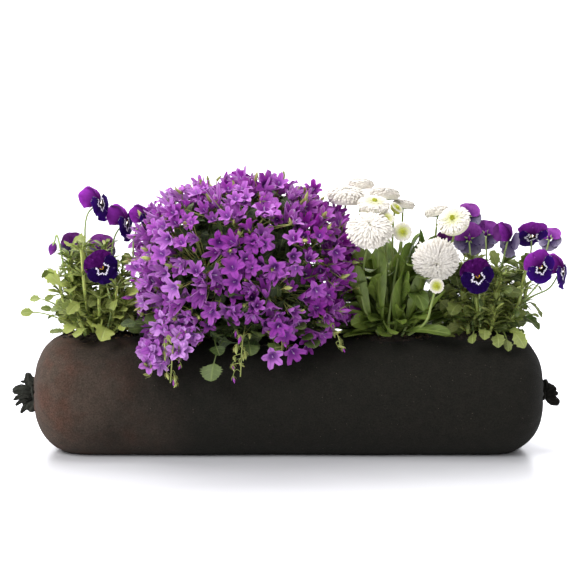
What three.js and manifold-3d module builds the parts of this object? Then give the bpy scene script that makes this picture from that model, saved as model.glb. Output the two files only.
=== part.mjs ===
// Planted sleeve: a soil-filled textile tube, tied off at both ends and lying on its side, planted
// through four openings with violas, a mound of bellflower, double daisies and more violas.
// Millimetres. +X runs along the sleeve, -Y is the front, +Z is up. The origin is on the floor,
// in the middle of the flat that the sleeve rests on.

import * as THREE from 'three';
import { mergeVertices } from 'three/addons/utils/BufferGeometryUtils.js';
import Module from 'manifold-3d';

const wasm = await Module();
wasm.setup();

// ---------------------------------------------------------------- driving dimensions

const GAP = 0.3; // left between neighbouring pieces
const SWELL = 0.6; // how far a piece's corners are pushed out before it is cut from its neighbour

const SLEEVE = {
  halfLength: 254,
  halfDepth: 70,
  halfHeight: 61,
  centreHeight: 54, // less than halfHeight: the lowest 7 mm is pressed flat on the floor
  wall: 1.5,
  topCap: 40, // length over which the top of an end rounds off
  bottomCap: 66, // the underside of an end rounds off more slowly
  capPower: 2.6,
  sectionPower: 2.4,
  around: 24,
  capSteps: 5,
  bodySteps: 5,
};
const CREST = SLEEVE.centreHeight + SLEEVE.halfHeight;
const BALL_TOP = CREST - SLEEVE.wall;
const CROWN = { height: 10, share: 0.78, topShare: 0.92, sides: 12 }; // share of its opening's half width
const FOOT = BALL_TOP + CROWN.height + 3 * GAP; // where flower stalks stand on the crowns

const KNOT = {
  height: 54,
  neckRadius: 6.5,
  length: 23,
  sides: 12,
  crumple: 0.16, // depth of the three big folds of the tail, as a share of the radius
  pleats: 0.08, // depth of the five smaller folds, as a share of the radius
  depthShare: 0.8, // the bundle is a little flatter from front to back
  tailSpread: 0.12,
};
// Outline of a knot: radius in neck radii, and distance from the sleeve as a share of its length.
const KNOT_OUTLINE = [
  [0, 0], [1, 0], [0.95, 0.12], [2.1, 0.25], [2.6, 0.45], [1.7, 0.62], [2.9, 0.85], [2, 1], [0, 0.92],
];

const OPENINGS = {
  viola_left: { x: -190, halfX: 34, halfY: 29, ballDepth: 74, taper: 0.75 },
  campanula: { x: -45, halfX: 50, halfY: 38, ballDepth: 86, taper: 0.78 },
  bellis: { x: 102, halfX: 38, halfY: 32, ballDepth: 78, taper: 0.75 },
  viola_right: { x: 196, halfX: 34, halfY: 29, ballDepth: 74, taper: 0.75 },
};
const OPENING_SIDES = 14;
const BALL_OVERLAP = 3; // a root ball is this much wider than its opening, all round

const STEM_STEPS = 5;
const VIOLA = {
  petalThickness: 1.6,
  dish: 2.5,
  lobeDepth: 0.12, // of the notches between the five petals, as a share of the radius
  stalkRadius: 1.2,
  spurLength: 7,
  spurRadius: 3.2,
  spurSides: 5,
  fullSize: 12, // a flower of this radius or more has the full spur
  points: 10,
};
const BELLIS = { scapeRadius: 1.6, sides: 9, thickness: 4, thicknessShare: 0.32, cupShare: 0.4 };
const BELL = {
  radius: 12,
  notch: 0.52,
  notchDrop: 2,
  depth: 10,
  throat: 5,
  calyxRadius: 1.8,
  calyxShare: 0.45, // how far behind a bell's middle its stalk ends, as a share of its depth
  stalkRadius: 1,
  points: 10,
};
const SPRAY = {
  footX: 30,
  footY: 22,
  forkShare: 0.6, // the main stem ends at this share of the way out to the mound's surface
  riseShare: 0.45,
  leastRise: 16,
  stalkZone: 0.35, // the bells' stalks leave the last part of the stem
  stemRadius: 1.6,
};
const LEAF = { thickness: 0.9, steps: 3, narrowest: 0.16, widestPower: 1.5 };
const LEAFY_STEM_RADIUS = 1.8;
const STEM_FOOT = BALL_TOP + 4; // leafy stems start inside the crowns
const GOLDEN_ANGLE = Math.PI * (3 - Math.sqrt(5));

// The bellflower mound is a blunt ellipsoid that hangs over the front and back of the sleeve.
const MOUND = {
  centre: new THREE.Vector3(-44, -6, 176),
  half: new THREE.Vector3(106, 84, 92),
  power: 2.7,
  bells: 88,
  sprays: 14, // the topmost directions of a spiral of sprayTurns; the others point underneath
  sprayTurns: 19,
  lowest: 92, // bells nearer the floor than this are left out
  leafyHalfWidth: 55, // in the middle, leaves take the place of the bells lower than leafyTop
  leafyTop: 128,
  clearance: 15, // bells stay this far off the sleeve
  share: 0.93, // bells sit at this share of the mound's size,
  unevenness: 0.07, // give or take this much
};

// Head centre, the way the face looks, radius, then the stalk's points down to the crown.
const VIOLAS_LEFT = [
  [[-186, -5, 248], [0.92, -0.3, 0.15], 18, [[-202, -4, 226], [-200, -4, 150], [-196, -4, FOOT]]],
  [[-162, 9, 227], [0.96, -0.25, 0.05], 18, [[-176, 9, 206], [-181, 8, 150], [-184, 6, FOOT]]],
  [[-138, -14, 233], [0.9, -0.35, 0.2], 15.5, [[-153, -13, 212], [-156, -12, 150], [-174, -10, FOOT]]],
  [[-182, -42, 186], [0.25, -0.95, -0.12], 17, [[-178, -31, 166], [-175, -27, 140], [-184, -16, FOOT]]],
  [[-189, 22, 198], [0.1, 0.95, -0.3], 15.5, [[-188, 27, 170], [-189, 22, 140], [-189, 16, FOOT]]],
  [[-218, 14, 202], [-0.45, 0.8, -0.2], 14, [[-211, 8, 190], [-208, 6, 150], [-203, 6, FOOT]]],
  [[-234, -8, 203], [-0.3, -0.2, -1], 5.5, [[-229, -10, 214], [-222, -12, 180], [-206, -14, FOOT]]],
];
const VIOLAS_RIGHT = [
  [[184, -45, 178], [0.22, -0.95, -0.12], 17.5, [[187, -33, 160], [189, -28, 138], [190, -16, FOOT]]],
  [[248, -26, 185], [0.4, -0.9, -0.1], 17, [[251, -12, 172], [234, -12, 150], [206, -10, FOOT]]],
  [[275, 6, 178], [0.9, -0.4, 0], 17, [[262, 10, 160], [240, 8, 148], [210, 4, FOOT]]],
  [[243, 4, 213], [0.15, -0.6, -0.75], 16.5, [[243, 18, 190], [228, 15, 150], [206, 14, FOOT]]],
  [[265, 26, 207], [0.4, 0.7, -0.6], 13, [[256, 20, 185], [235, 24, 150], [209, 16, FOOT]]],
  [[220, -10, 211], [0.82, 0.4, -0.1], 17, [[212, -8, 186], [207, -2, 150], [200, -2, FOOT]]],
  [[198, 14, 213], [0.1, 0.9, -0.4], 15, [[198, 6, 188], [197, 6, 150], [196, 6, FOOT]]],
  [[178, -14, 211], [0, 0.95, -0.3], 16.5, [[180, -26, 180], [182, -20, 150], [184, -6, FOOT]]],
  [[181, 18, 231], [0.3, 0.9, -0.3], 14, [[180, 12, 200], [184, 12, 150], [188, 14, FOOT]]],
  [[156, 24, 207], [-0.3, 1, 0.2], 11, [[159, 16, 180], [168, 16, 150], [183, 16, FOOT]]],
];

// Head centre, the way the head looks, radius, then the scape's points down to the crown.
const BELLIS_HEADS = [
  [[57, -6, 250], [0.05, -0.15, 1], 21, [[53, -4, 215], [64, -2, 160], [92, -8, FOOT]]],
  [[73, 28, 261], [0.05, 0, 1], 14, [[72, 25, 215], [78, 18, 160], [95, 10, FOOT]]],
  [[83, -29, 243], [0.1, -0.4, 1], 17, [[85, -16, 215], [88, -10, 160], [99, -6, FOOT]]],
  [[96, 12, 251], [0.05, 0.1, 1], 16.5, [[95, 11, 215], [98, 8, 160], [102, 6, FOOT]]],
  [[115, 20, 241], [0.15, 0.1, 1], 12.5, [[114, 19, 210], [112, 14, 160], [108, 12, FOOT]]],
  [[105, -16, 241], [0.6, -0.4, 0.7], 7.5, [[103, -9, 215], [104, -4, 160], [106, -2, FOOT]]],
  [[95, -40, 232], [-0.2, -0.9, 0.55], 9, [[96, -25, 212], [97, -18, 160], [100, -14, FOOT]]],
  [[78, -50, 221], [0, -0.68, 0.73], 23.5, [[74, -32, 190], [73, -26, 150], [91, -16, FOOT]]],
  [[110, -44, 221], [0.05, -1, 0.2], 10, [[108, -31, 200], [101, -27, 150], [98, -20, FOOT]]],
  [[143, -42, 196], [0, -0.87, -0.5], 23, [[140, -18, 188], [126, -20, 150], [112, -18, FOOT]]],
  [[142, -66, 171], [0, -1, 0.1], 7.5, [[139, -54, 154], [133, -45, 132], [115, -16, FOOT]]],
  [[148, 2, 235], [-0.25, 0.1, 1], 13.5, [[145, 4, 205], [132, 2, 160], [112, 0, FOOT]]],
  [[162, -36, 229], [-0.35, -0.65, 0.65], 17.5, [[160, -14, 202], [140, -12, 150], [116, -10, FOOT]]],
];

// A leaf runs from its base over a bend to its tip, with its greatest width last.
const VIOLA_LEFT_LEAVES = [
  [[-214, -18, 150], [-228, -10, 172], [-243, -6, 178], 14],
  [[-208, -6, 120], [-236, -8, 158], [-258, -8, 150], 9],
  [[-208, -10, 120], [-240, -18, 144], [-266, -18, 138], 9],
  [[-202, -14, 120], [-214, -38, 134], [-220, -54, 112], 15],
  [[-192, -16, 120], [-188, -42, 134], [-190, -62, 108], 16],
  [[-180, -14, 120], [-168, -42, 134], [-160, -58, 112], 17],
  [[-168, -12, 145], [-158, -26, 164], [-148, -36, 160], 15],
  [[-214, -18, 150], [-212, -32, 170], [-214, -44, 162], 13],
  [[-217, -10, 192], [-219, -10, 214], [-211, -18, 206], 16],
  [[-178, 8, 120], [-160, 18, 158], [-146, 22, 152], 15],
  [[-190, 14, 120], [-196, 44, 140], [-200, 60, 116], 17],
  [[-178, 12, 120], [-160, 40, 138], [-152, 56, 116], 17],
  [[-204, 22, 140], [-226, 34, 150], [-240, 42, 136], 15],
  [[-166, -10, 174], [-166, -8, 190], [-158, -4, 196], 10],
];
const VIOLA_LEFT_STEMS = [
  [[-200, -18, STEM_FOOT], [-214, -18, 150], [-217, -10, 192]],
  [[-176, -6, STEM_FOOT], [-168, -12, 145], [-166, -10, 174]],
  [[-198, 18, STEM_FOOT], [-204, 22, 140], [-208, 26, 168]],
];

const VIOLA_RIGHT_LEAVES = [
  [[188, -14, 120], [184, -44, 132], [180, -62, 104], 12],
  [[196, -16, 120], [198, -46, 132], [200, -64, 100], 15],
  [[204, -14, 120], [214, -44, 134], [220, -62, 104], 13],
  [[208, -12, 120], [226, -36, 132], [236, -54, 104], 14],
  [[214, -6, 120], [232, -14, 146], [248, -22, 122], 16],
  [[222, -4, 146], [240, -14, 158], [250, -22, 134], 14],
  [[174, -14, 146], [164, -32, 152], [158, -46, 140], 15],
  [[172, -12, 178], [166, -24, 190], [160, -34, 180], 14],
  [[204, -18, 146], [212, -30, 168], [216, -38, 160], 14],
  [[230, -4, 178], [236, -8, 192], [240, -12, 196], 12],
  [[182, 10, 120], [160, 24, 148], [150, 36, 134], 16],
  [[194, 16, 120], [186, 44, 138], [184, 60, 114], 17],
  [[204, 26, 140], [220, 44, 146], [226, 58, 128], 16],
  [[212, 8, 120], [236, 22, 144], [250, 32, 122], 15],
  [[206, -20, 176], [204, -24, 196], [198, -22, 200], 12],
];
const VIOLA_RIGHT_STEMS = [
  [[180, -12, STEM_FOOT], [174, -14, 146], [172, -12, 178]],
  [[198, -14, STEM_FOOT], [204, -18, 146], [206, -20, 176]],
  [[214, -2, STEM_FOOT], [222, -4, 146], [230, -4, 178]],
  [[200, 20, STEM_FOOT], [204, 26, 140], [208, 30, 172]],
];

const BELLIS_LEAVES = [
  [[86, -10, 118], [66, -14, 150], [64, -20, 198], 14],
  [[88, -14, 118], [69, -28, 150], [66, -36, 188], 16],
  [[95, -18, 118], [86, -38, 160], [88, -38, 206], 17],
  [[106, -18, 118], [106, -40, 150], [113, -42, 190], 19],
  [[110, -14, 118], [128, -34, 150], [130, -34, 180], 18],
  [[114, -4, 118], [134, -8, 160], [130, -8, 222], 14],
  [[116, -14, 118], [140, -34, 142], [154, -36, 164], 15],
  [[110, -20, 118], [124, -50, 130], [158, -54, 122], 16],
  [[100, -20, 118], [96, -50, 134], [98, -62, 124], 19],
  [[86, -4, 118], [68, 6, 146], [66, 8, 172], 14],
  [[92, 14, 118], [76, 34, 150], [72, 40, 190], 17],
  [[104, 16, 118], [104, 38, 150], [108, 44, 198], 18],
  [[112, 12, 118], [130, 28, 150], [134, 34, 186], 17],
  [[98, 18, 118], [82, 48, 132], [76, 60, 120], 18],
  [[116, 6, 118], [142, 12, 140], [154, 14, 156], 16],
];

const CAMPANULA_LEAVES = [
  [[-56, -18, 122], [-80, -60, 132], [-74, -84, 104], 24],
  [[-52, -20, 122], [-66, -70, 120], [-71, -88, 80], 24],
  [[-42, -20, 122], [-40, -64, 130], [-36, -84, 106], 24],
  [[-32, -18, 122], [-14, -62, 130], [-8, -82, 108], 24],
  [[-66, -14, 122], [-100, -54, 130], [-110, -76, 112], 22],
  [[-24, -14, 122], [14, -54, 128], [26, -74, 112], 22],
  [[-58, 18, 122], [-76, 56, 130], [-74, 80, 104], 24],
  [[-42, 20, 122], [-38, 60, 130], [-34, 82, 102], 24],
  [[-30, 16, 122], [-6, 52, 130], [2, 76, 108], 24],
  [[-68, 12, 122], [-104, 44, 130], [-116, 62, 112], 22],
  [[-70, -4, 122], [-112, -14, 134], [-138, -18, 122], 22],
  [[-20, 4, 122], [18, 8, 134], [46, 10, 122], 22],
];

// ---------------------------------------------------------------- solids and meshes

function pointOf(triple) {
  return new THREE.Vector3(...triple);
}

// Merges shared vertices and drops the empty triangles that a pole leaves.
function solidOf(geometry) {
  const bare = geometry.clone();
  bare.deleteAttribute('normal');
  bare.deleteAttribute('uv');
  const merged = mergeVertices(bare, 1e-4);
  const corners = [];
  for (let i = 0; i < merged.index.count; i += 3) {
    const triangle = [0, 1, 2].map((corner) => merged.index.getX(i + corner));
    if (new Set(triangle).size === 3) corners.push(...triangle);
  }
  return new wasm.Manifold(new wasm.Mesh({
    numProp: 3,
    vertProperties: new Float32Array(merged.attributes.position.array),
    triVerts: new Uint32Array(corners),
  }));
}

function geometryOf(solid) {
  const { vertProperties, triVerts } = solid.getMesh();
  const geometry = new THREE.BufferGeometry();
  geometry.setAttribute('position', new THREE.BufferAttribute(new Float32Array(vertProperties), 3));
  geometry.setIndex(new THREE.BufferAttribute(new Uint32Array(triVerts), 1));
  geometry.computeVertexNormals();
  return geometry;
}

// Moves every vertex of a geometry to the point that move() gives for it.
function reshape(geometry, move) {
  const position = geometry.attributes.position;
  const point = new THREE.Vector3();
  for (let i = 0; i < position.count; i += 1) {
    point.fromBufferAttribute(position, i);
    const moved = move(point);
    position.setXYZ(i, moved.x, moved.y, moved.z);
  }
  return geometry;
}

function join(solids) {
  return solids.reduce((whole, solid) => whole.add(solid));
}

// A cut can leave crumbs: only the biggest body stays.
function largestBody(solid) {
  const bodies = solid.decompose();
  return bodies.reduce((best, body) => (body.volume() > best.volume() ? body : best));
}

// The same simple solid with its vertices pushed outwards along their normals.
function swollen(solid) {
  const geometry = geometryOf(solid);
  const normal = geometry.attributes.normal;
  const position = geometry.attributes.position;
  for (let i = 0; i < position.count; i += 1) {
    position.setXYZ(
      i,
      position.getX(i) + normal.getX(i) * SWELL,
      position.getY(i) + normal.getY(i) * SWELL,
      position.getZ(i) + normal.getZ(i) * SWELL,
    );
  }
  return solidOf(geometry);
}

const standing = []; // pieces that later ones have to keep clear of

function boxesMeet(a, b) {
  return a.min.every((low, axis) => low <= b.max[axis] && b.min[axis] <= a.max[axis]);
}

function clearOfStanding(solid) {
  const box = solid.boundingBox();
  const cut = standing
    .filter((other) => boxesMeet(box, other.boundingBox()))
    .reduce((rest, other) => rest.subtract(other), solid);
  return largestBody(cut);
}

// Joins the simple solids of one piece, cuts it clear of what stands already, and adds it to that.
function settle(solids) {
  const settled = clearOfStanding(join(solids));
  standing.push(join(solids.map(swollen)));
  return settled;
}

function tubeAlong(points, radius, steps, sides = 4) {
  const corners = Array.from({ length: sides }, (_, i) => {
    const angle = (i / sides) * Math.PI * 2;
    return new THREE.Vector2(Math.cos(angle) * radius, Math.sin(angle) * radius);
  });
  const section = new THREE.Shape(corners);
  const extrudePath = new THREE.CatmullRomCurve3(points);
  return solidOf(new THREE.ExtrudeGeometry(section, { steps, extrudePath, bevelEnabled: false }));
}

// Turns a shape that looks along +Y so that it looks along a direction, and moves it to a place.
function aimed(geometry, direction, place) {
  const up = new THREE.Vector3(0, 1, 0);
  const turn = new THREE.Quaternion().setFromUnitVectors(up, direction.clone().normalize());
  return geometry.applyQuaternion(turn).translate(place.x, place.y, place.z);
}

// ---------------------------------------------------------------- sleeve, knots and soil

function signedPower(value, power) {
  return Math.sign(value) * Math.abs(value) ** power;
}

// Share of the full section that is left at x, for a height share from 0 (bottom) to 1 (top).
function endScale(x, upness, halfLength) {
  const cap = THREE.MathUtils.lerp(SLEEVE.bottomCap, SLEEVE.topCap, upness);
  const into = Math.max(0, (Math.abs(x) - (halfLength - cap)) / cap);
  return Math.max(0, 1 - Math.min(1, into) ** SLEEVE.capPower) ** (1 / SLEEVE.capPower);
}

// Stations from one pole to the other, close together where the ends round off.
function sleeveStations(halfLength) {
  const cap = [];
  for (let i = 0; i <= SLEEVE.capSteps; i += 1) {
    const angle = (i / SLEEVE.capSteps) * Math.PI * 0.5;
    cap.push(halfLength - SLEEVE.bottomCap * (1 - Math.cos(angle)));
  }
  const body = cap[SLEEVE.capSteps];
  const middle = [];
  for (let i = 1; i < SLEEVE.bodySteps; i += 1) {
    middle.push(body - (2 * body * i) / SLEEVE.bodySteps);
  }
  return [...cap, ...middle, ...cap.map((x) => -x).reverse()];
}

// The sleeve's closed outer form, or a form inset from it on every side.
function sleeveForm(inset) {
  const halfLength = SLEEVE.halfLength - inset;
  const halfDepth = SLEEVE.halfDepth - inset;
  const halfHeight = SLEEVE.halfHeight - inset;
  const stations = sleeveStations(halfLength);
  const last = stations.length - 1;
  const profile = stations.map((x, i) => new THREE.Vector2(i === 0 || i === last ? 0 : 1, -x));
  const power = 2 / SLEEVE.sectionPower;
  const lathe = reshape(new THREE.LatheGeometry(profile, SLEEVE.around), (point) => {
    const x = point.y;
    const radius = Math.hypot(point.x, point.z);
    const across = radius > 0.5 ? point.x / radius : 0;
    const up = radius > 0.5 ? -point.z / radius : 0;
    const scale = radius > 0.5 ? endScale(x, (1 + up) / 2, halfLength) : 0;
    const y = halfDepth * scale * signedPower(across, power);
    const z = SLEEVE.centreHeight + halfHeight * scale * signedPower(up, power);
    return new THREE.Vector3(x, y, Math.max(z, inset));
  });
  return solidOf(lathe);
}

// A straight plug through an opening, from a given height to well above the sleeve.
function openingPlug(opening, widen, from, taper) {
  const to = CREST + 10;
  const plug = new THREE.CylinderGeometry(1, taper, to - from, OPENING_SIDES);
  plug.rotateX(Math.PI / 2);
  plug.scale(opening.halfX + widen, opening.halfY + widen, 1);
  plug.translate(opening.x, 0, (from + to) / 2);
  return solidOf(plug);
}

function fabricSleeve() {
  const mouths = Object.values(OPENINGS).map((opening) => openingPlug(opening, 0, SLEEVE.centreHeight, 1));
  return sleeveForm(0).subtract(sleeveForm(SLEEVE.wall)).subtract(join(mouths));
}

// Gathered cloth: a narrow neck, the hitch and a flared, crumpled tail. side is -1 or 1.
function sleeveKnot(side) {
  const start = SLEEVE.halfLength + GAP;
  const profile = KNOT_OUTLINE.map(([r, t]) => new THREE.Vector2(r * KNOT.neckRadius, -t * KNOT.length));
  const knot = new THREE.LatheGeometry(profile.reverse(), KNOT.sides);
  reshape(knot, (point) => {
    const angle = Math.atan2(point.z, point.x);
    const along = -point.y / KNOT.length;
    const folds = KNOT.crumple * along * Math.sin(3 * angle + 1);
    const ripple = 1 + folds + KNOT.pleats * Math.cos(5 * angle);
    return new THREE.Vector3(
      side * (start - point.y),
      side * point.x * ripple * KNOT.depthShare,
      KNOT.height + point.z * ripple * (1 + KNOT.tailSpread * along),
    );
  });
  return solidOf(knot);
}

function rootBall(opening) {
  const bottom = CREST - opening.ballDepth;
  return openingPlug(opening, BALL_OVERLAP, bottom, opening.taper).intersect(soilForm);
}

function soilFill() {
  const pockets = Object.values(OPENINGS).map((opening) => {
    const bottom = CREST - opening.ballDepth - GAP;
    return openingPlug(opening, BALL_OVERLAP + GAP, bottom, opening.taper);
  });
  return soilForm.subtract(join(pockets));
}

// ---------------------------------------------------------------- plants

// Five overlapping petals, thin and slightly dished, with a spur behind and a stalk down to the crown.
function violaFlower([centre, facing, radius, stalk]) {
  const petals = new THREE.CylinderGeometry(radius, radius, VIOLA.petalThickness, VIOLA.points);
  reshape(petals, (point) => {
    const outward = Math.hypot(point.x, point.z) / radius;
    const lobe = 1 - VIOLA.lobeDepth * (1 - Math.cos(5 * Math.atan2(point.x, point.z)));
    return new THREE.Vector3(point.x * lobe, point.y + VIOLA.dish * outward ** 2, point.z * lobe);
  });
  const size = Math.min(1, radius / VIOLA.fullSize);
  const spur = new THREE.ConeGeometry(VIOLA.spurRadius * size, VIOLA.spurLength, VIOLA.spurSides);
  spur.rotateX(Math.PI);
  spur.translate(0, -VIOLA.spurLength / 2, 0);
  const place = pointOf(centre);
  const direction = pointOf(facing).normalize();
  const behind = place.clone().addScaledVector(direction, -VIOLA.spurLength / 2);
  const points = [behind, ...stalk.map(pointOf)];
  return [
    solidOf(aimed(petals, direction, place)),
    solidOf(aimed(spur, direction, place)),
    tubeAlong(points, VIOLA.stalkRadius, STEM_STEPS),
  ];
}

// A flat green cup with a crowned cushion of rays, on a leafless scape.
function bellisFlower([centre, facing, radius, scape]) {
  const thick = BELLIS.thickness + radius * BELLIS.thicknessShare;
  const outline = [[0, 0], [0.4, 0], [1, 0.45], [0.7, 0.88], [0, 1]];
  const profile = outline.map(([r, t]) => new THREE.Vector2(r * radius, (t - BELLIS.cupShare) * thick));
  const head = new THREE.LatheGeometry(profile, BELLIS.sides);
  const place = pointOf(centre);
  const direction = pointOf(facing).normalize();
  const below = place.clone().addScaledVector(direction, -0.75 * BELLIS.cupShare * thick);
  const points = [below, ...scape.map(pointOf)];
  return [solidOf(aimed(head, direction, place)), tubeAlong(points, BELLIS.scapeRadius, STEM_STEPS)];
}

// Point on the mound in a given direction, at a share of its full size.
function onMound(direction, share) {
  const reach = [direction.x, direction.y, direction.z]
    .reduce((sum, part) => sum + Math.abs(part) ** MOUND.power, 0) ** (-1 / MOUND.power);
  return direction.clone().multiplyScalar(reach * share).multiply(MOUND.half).add(MOUND.centre);
}

// Evenly spread directions: equal steps in height, turned by the golden angle from one to the next.
function spiralDirection(i, count) {
  const up = 1 - (2 * (i + 0.5)) / count;
  const level = Math.sqrt(1 - up * up);
  const angle = i * GOLDEN_ANGLE;
  return new THREE.Vector3(level * Math.cos(angle), level * Math.sin(angle), up);
}

// Five pointed lobes round a short open bell, with the small flat of its calyx at the back.
function starBell(place, direction) {
  const bell = new THREE.CylinderGeometry(BELL.radius, BELL.calyxRadius, BELL.depth, BELL.points);
  reshape(bell, (point) => {
    const radius = Math.hypot(point.x, point.z);
    if (point.y < 0) return point;
    if (radius < 1) return new THREE.Vector3(0, point.y - BELL.throat, 0);
    const lobe = Math.round((Math.atan2(point.x, point.z) / Math.PI) * 5);
    if (lobe % 2 === 0) return point;
    return new THREE.Vector3(point.x * BELL.notch, point.y - BELL.notchDrop, point.z * BELL.notch);
  });
  return solidOf(aimed(bell, direction, place));
}

// True where a bell would stand free: outside the sleeve, above the leaves and not too low.
function bellFits(place) {
  const leafy = Math.abs(place.x - MOUND.centre.x) < MOUND.leafyHalfWidth;
  const lowest = leafy ? MOUND.leafyTop : MOUND.lowest;
  const across = Math.abs(place.y) / (SLEEVE.halfDepth + MOUND.clearance);
  const up = Math.abs(place.z - SLEEVE.centreHeight) / (SLEEVE.halfHeight + MOUND.clearance);
  return place.z > lowest && across ** SLEEVE.sectionPower + up ** SLEEVE.sectionPower > 1;
}

const sprayDirections = Array.from({ length: MOUND.sprays }, (_, i) => spiralDirection(i, MOUND.sprayTurns));

// Groups the mound's bells by the spray whose direction is nearest, so that no stalks cross.
function moundBells() {
  const groups = Array.from({ length: MOUND.sprays }, () => []);
  for (let i = 0; i < MOUND.bells; i += 1) {
    const direction = spiralDirection(i, MOUND.bells);
    const place = onMound(direction, MOUND.share + MOUND.unevenness * Math.sin(i * GOLDEN_ANGLE));
    if (bellFits(place)) {
      const angles = sprayDirections.map((spray) => spray.angleTo(direction));
      groups[angles.indexOf(Math.min(...angles))].push({ place, direction });
    }
  }
  return groups;
}

// A main stem from the crown into the mound; each bell's stalk leaves it a little higher up.
function campanulaSpray(direction, bells) {
  const footX = OPENINGS.campanula.x + SPRAY.footX * direction.x;
  const foot = new THREE.Vector3(footX, SPRAY.footY * direction.y, FOOT);
  const fork = onMound(direction, SPRAY.forkShare);
  const height = Math.max(foot.z + SPRAY.leastRise, (foot.z + fork.z) / 2);
  const rise = foot.clone().lerp(fork, SPRAY.riseShare).setZ(height);
  const stem = new THREE.CatmullRomCurve3([foot, rise, fork]);
  const solids = [tubeAlong(stem.points, SPRAY.stemRadius, STEM_STEPS)];
  bells.forEach(({ place, direction: out }, i) => {
    const node = stem.getPoint(1 - (SPRAY.stalkZone * (i + 0.3)) / bells.length);
    const calyx = place.clone().addScaledVector(out, -BELL.depth * BELL.calyxShare);
    solids.push(tubeAlong([node, calyx], BELL.stalkRadius, 1, 3), starBell(place, out));
  });
  return solids;
}

// Blade on a bowed midrib: narrow at the base, widest past the middle.
function leaf([base, bend, tip, width]) {
  const rib = new THREE.QuadraticBezierCurve3(pointOf(base), pointOf(bend), pointOf(tip));
  const up = new THREE.Vector3(0, 0, 1);
  const blade = new THREE.BoxGeometry(1, 1, 1, 1, LEAF.steps, 1);
  reshape(blade, (point) => {
    const t = point.y + 0.5;
    const along = rib.getTangent(t);
    const side = new THREE.Vector3().crossVectors(along, up).normalize();
    const normal = new THREE.Vector3().crossVectors(side, along).normalize();
    const broad = width * Math.max(LEAF.narrowest, Math.sin(Math.PI * t ** LEAF.widestPower));
    return rib.getPoint(t)
      .addScaledVector(side, point.x * broad)
      .addScaledVector(normal, point.z * LEAF.thickness);
  });
  return solidOf(blade);
}

// A low tapered disc, the crown, on the root ball; it carries the leaves and leafy stems of one plant.
function foliage(opening, leaves, stems) {
  const crown = new THREE.CylinderGeometry(CROWN.topShare, 1, CROWN.height, CROWN.sides);
  crown.rotateX(Math.PI / 2);
  crown.scale(opening.halfX * CROWN.share, opening.halfY * CROWN.share, 1);
  crown.translate(opening.x, 0, BALL_TOP + GAP + CROWN.height / 2);
  const branches = stems.map((points) => tubeAlong(points.map(pointOf), LEAFY_STEM_RADIUS, STEM_STEPS));
  return [solidOf(crown), ...leaves.map(leaf), ...branches];
}

// ---------------------------------------------------------------- the whole object

const planter = new THREE.Group();

function finish(colour, roughness) {
  return new THREE.MeshStandardMaterial({ color: colour, roughness, metalness: 0 });
}

const FINISHES = {
  sleeve: finish('#2b2722', 0.95),
  soil: finish('#241a12', 1),
  leaf: finish('#56733a', 0.6),
  rosette: finish('#4f7234', 0.55),
  viola: finish('#3b1470', 0.7),
  bellflower: finish('#a258c8', 0.65),
  daisy: finish('#f0ebe4', 0.75),
};

// Each plant is a group standing at the middle of its opening.
const plants = Object.fromEntries(Object.entries(OPENINGS).map(([name, opening]) => {
  const plant = new THREE.Group();
  plant.position.set(opening.x, 0, BALL_TOP);
  planter.add(plant);
  return [name, plant];
}));

function addPiece(group, name, solid, material) {
  const geometry = geometryOf(solid);
  geometry.translate(-group.position.x, -group.position.y, -group.position.z);
  const mesh = new THREE.Mesh(geometry, material);
  mesh.name = name;
  group.add(mesh);
}

const soilForm = sleeveForm(SLEEVE.wall + GAP);
addPiece(planter, 'fabric_sleeve', fabricSleeve(), FINISHES.sleeve);
addPiece(planter, 'left_knot', sleeveKnot(-1), FINISHES.sleeve);
addPiece(planter, 'right_knot', sleeveKnot(1), FINISHES.sleeve);
addPiece(planter, 'soil_fill', soilFill(), FINISHES.soil);
Object.entries(OPENINGS).forEach(([name, opening]) => {
  addPiece(plants[name], `${name}_root_ball`, rootBall(opening), FINISHES.soil);
});

// Everything that grows keeps clear of the sleeve and of what was placed before it.
standing.push(sleeveForm(-GAP));
BELLIS_HEADS.forEach((head, i) => {
  addPiece(plants.bellis, `bellis_flower_${i + 1}`, settle(bellisFlower(head)), FINISHES.daisy);
});
VIOLAS_LEFT.forEach((viola, i) => {
  addPiece(plants.viola_left, `viola_left_flower_${i + 1}`, settle(violaFlower(viola)), FINISHES.viola);
});
VIOLAS_RIGHT.forEach((viola, i) => {
  addPiece(plants.viola_right, `viola_right_flower_${i + 1}`, settle(violaFlower(viola)), FINISHES.viola);
});
moundBells().forEach((bells, i) => {
  const spray = campanulaSpray(sprayDirections[i], bells);
  addPiece(plants.campanula, `campanula_spray_${i + 1}`, settle(spray), FINISHES.bellflower);
});
[
  ['viola_left', VIOLA_LEFT_LEAVES, VIOLA_LEFT_STEMS, FINISHES.leaf],
  ['viola_right', VIOLA_RIGHT_LEAVES, VIOLA_RIGHT_STEMS, FINISHES.leaf],
  ['bellis', BELLIS_LEAVES, [], FINISHES.rosette],
  ['campanula', CAMPANULA_LEAVES, [], FINISHES.leaf],
].forEach(([name, leaves, stems, material]) => {
  const grown = settle(foliage(OPENINGS[name], leaves, stems));
  addPiece(plants[name], `${name}_foliage`, grown, material);
});

export default planter;
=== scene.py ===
"""Planted fabric sleeve: a soil-filled textile tube, knotted at both ends and lying on its side, with
violas, a mound of bellflower, double daisies and more violas growing out of its top.

Shapes are worked out in millimetres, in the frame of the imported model, and go into the meshes in
metres. +X runs along the sleeve, -Y is the front, +Z is up."""

import math

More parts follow.
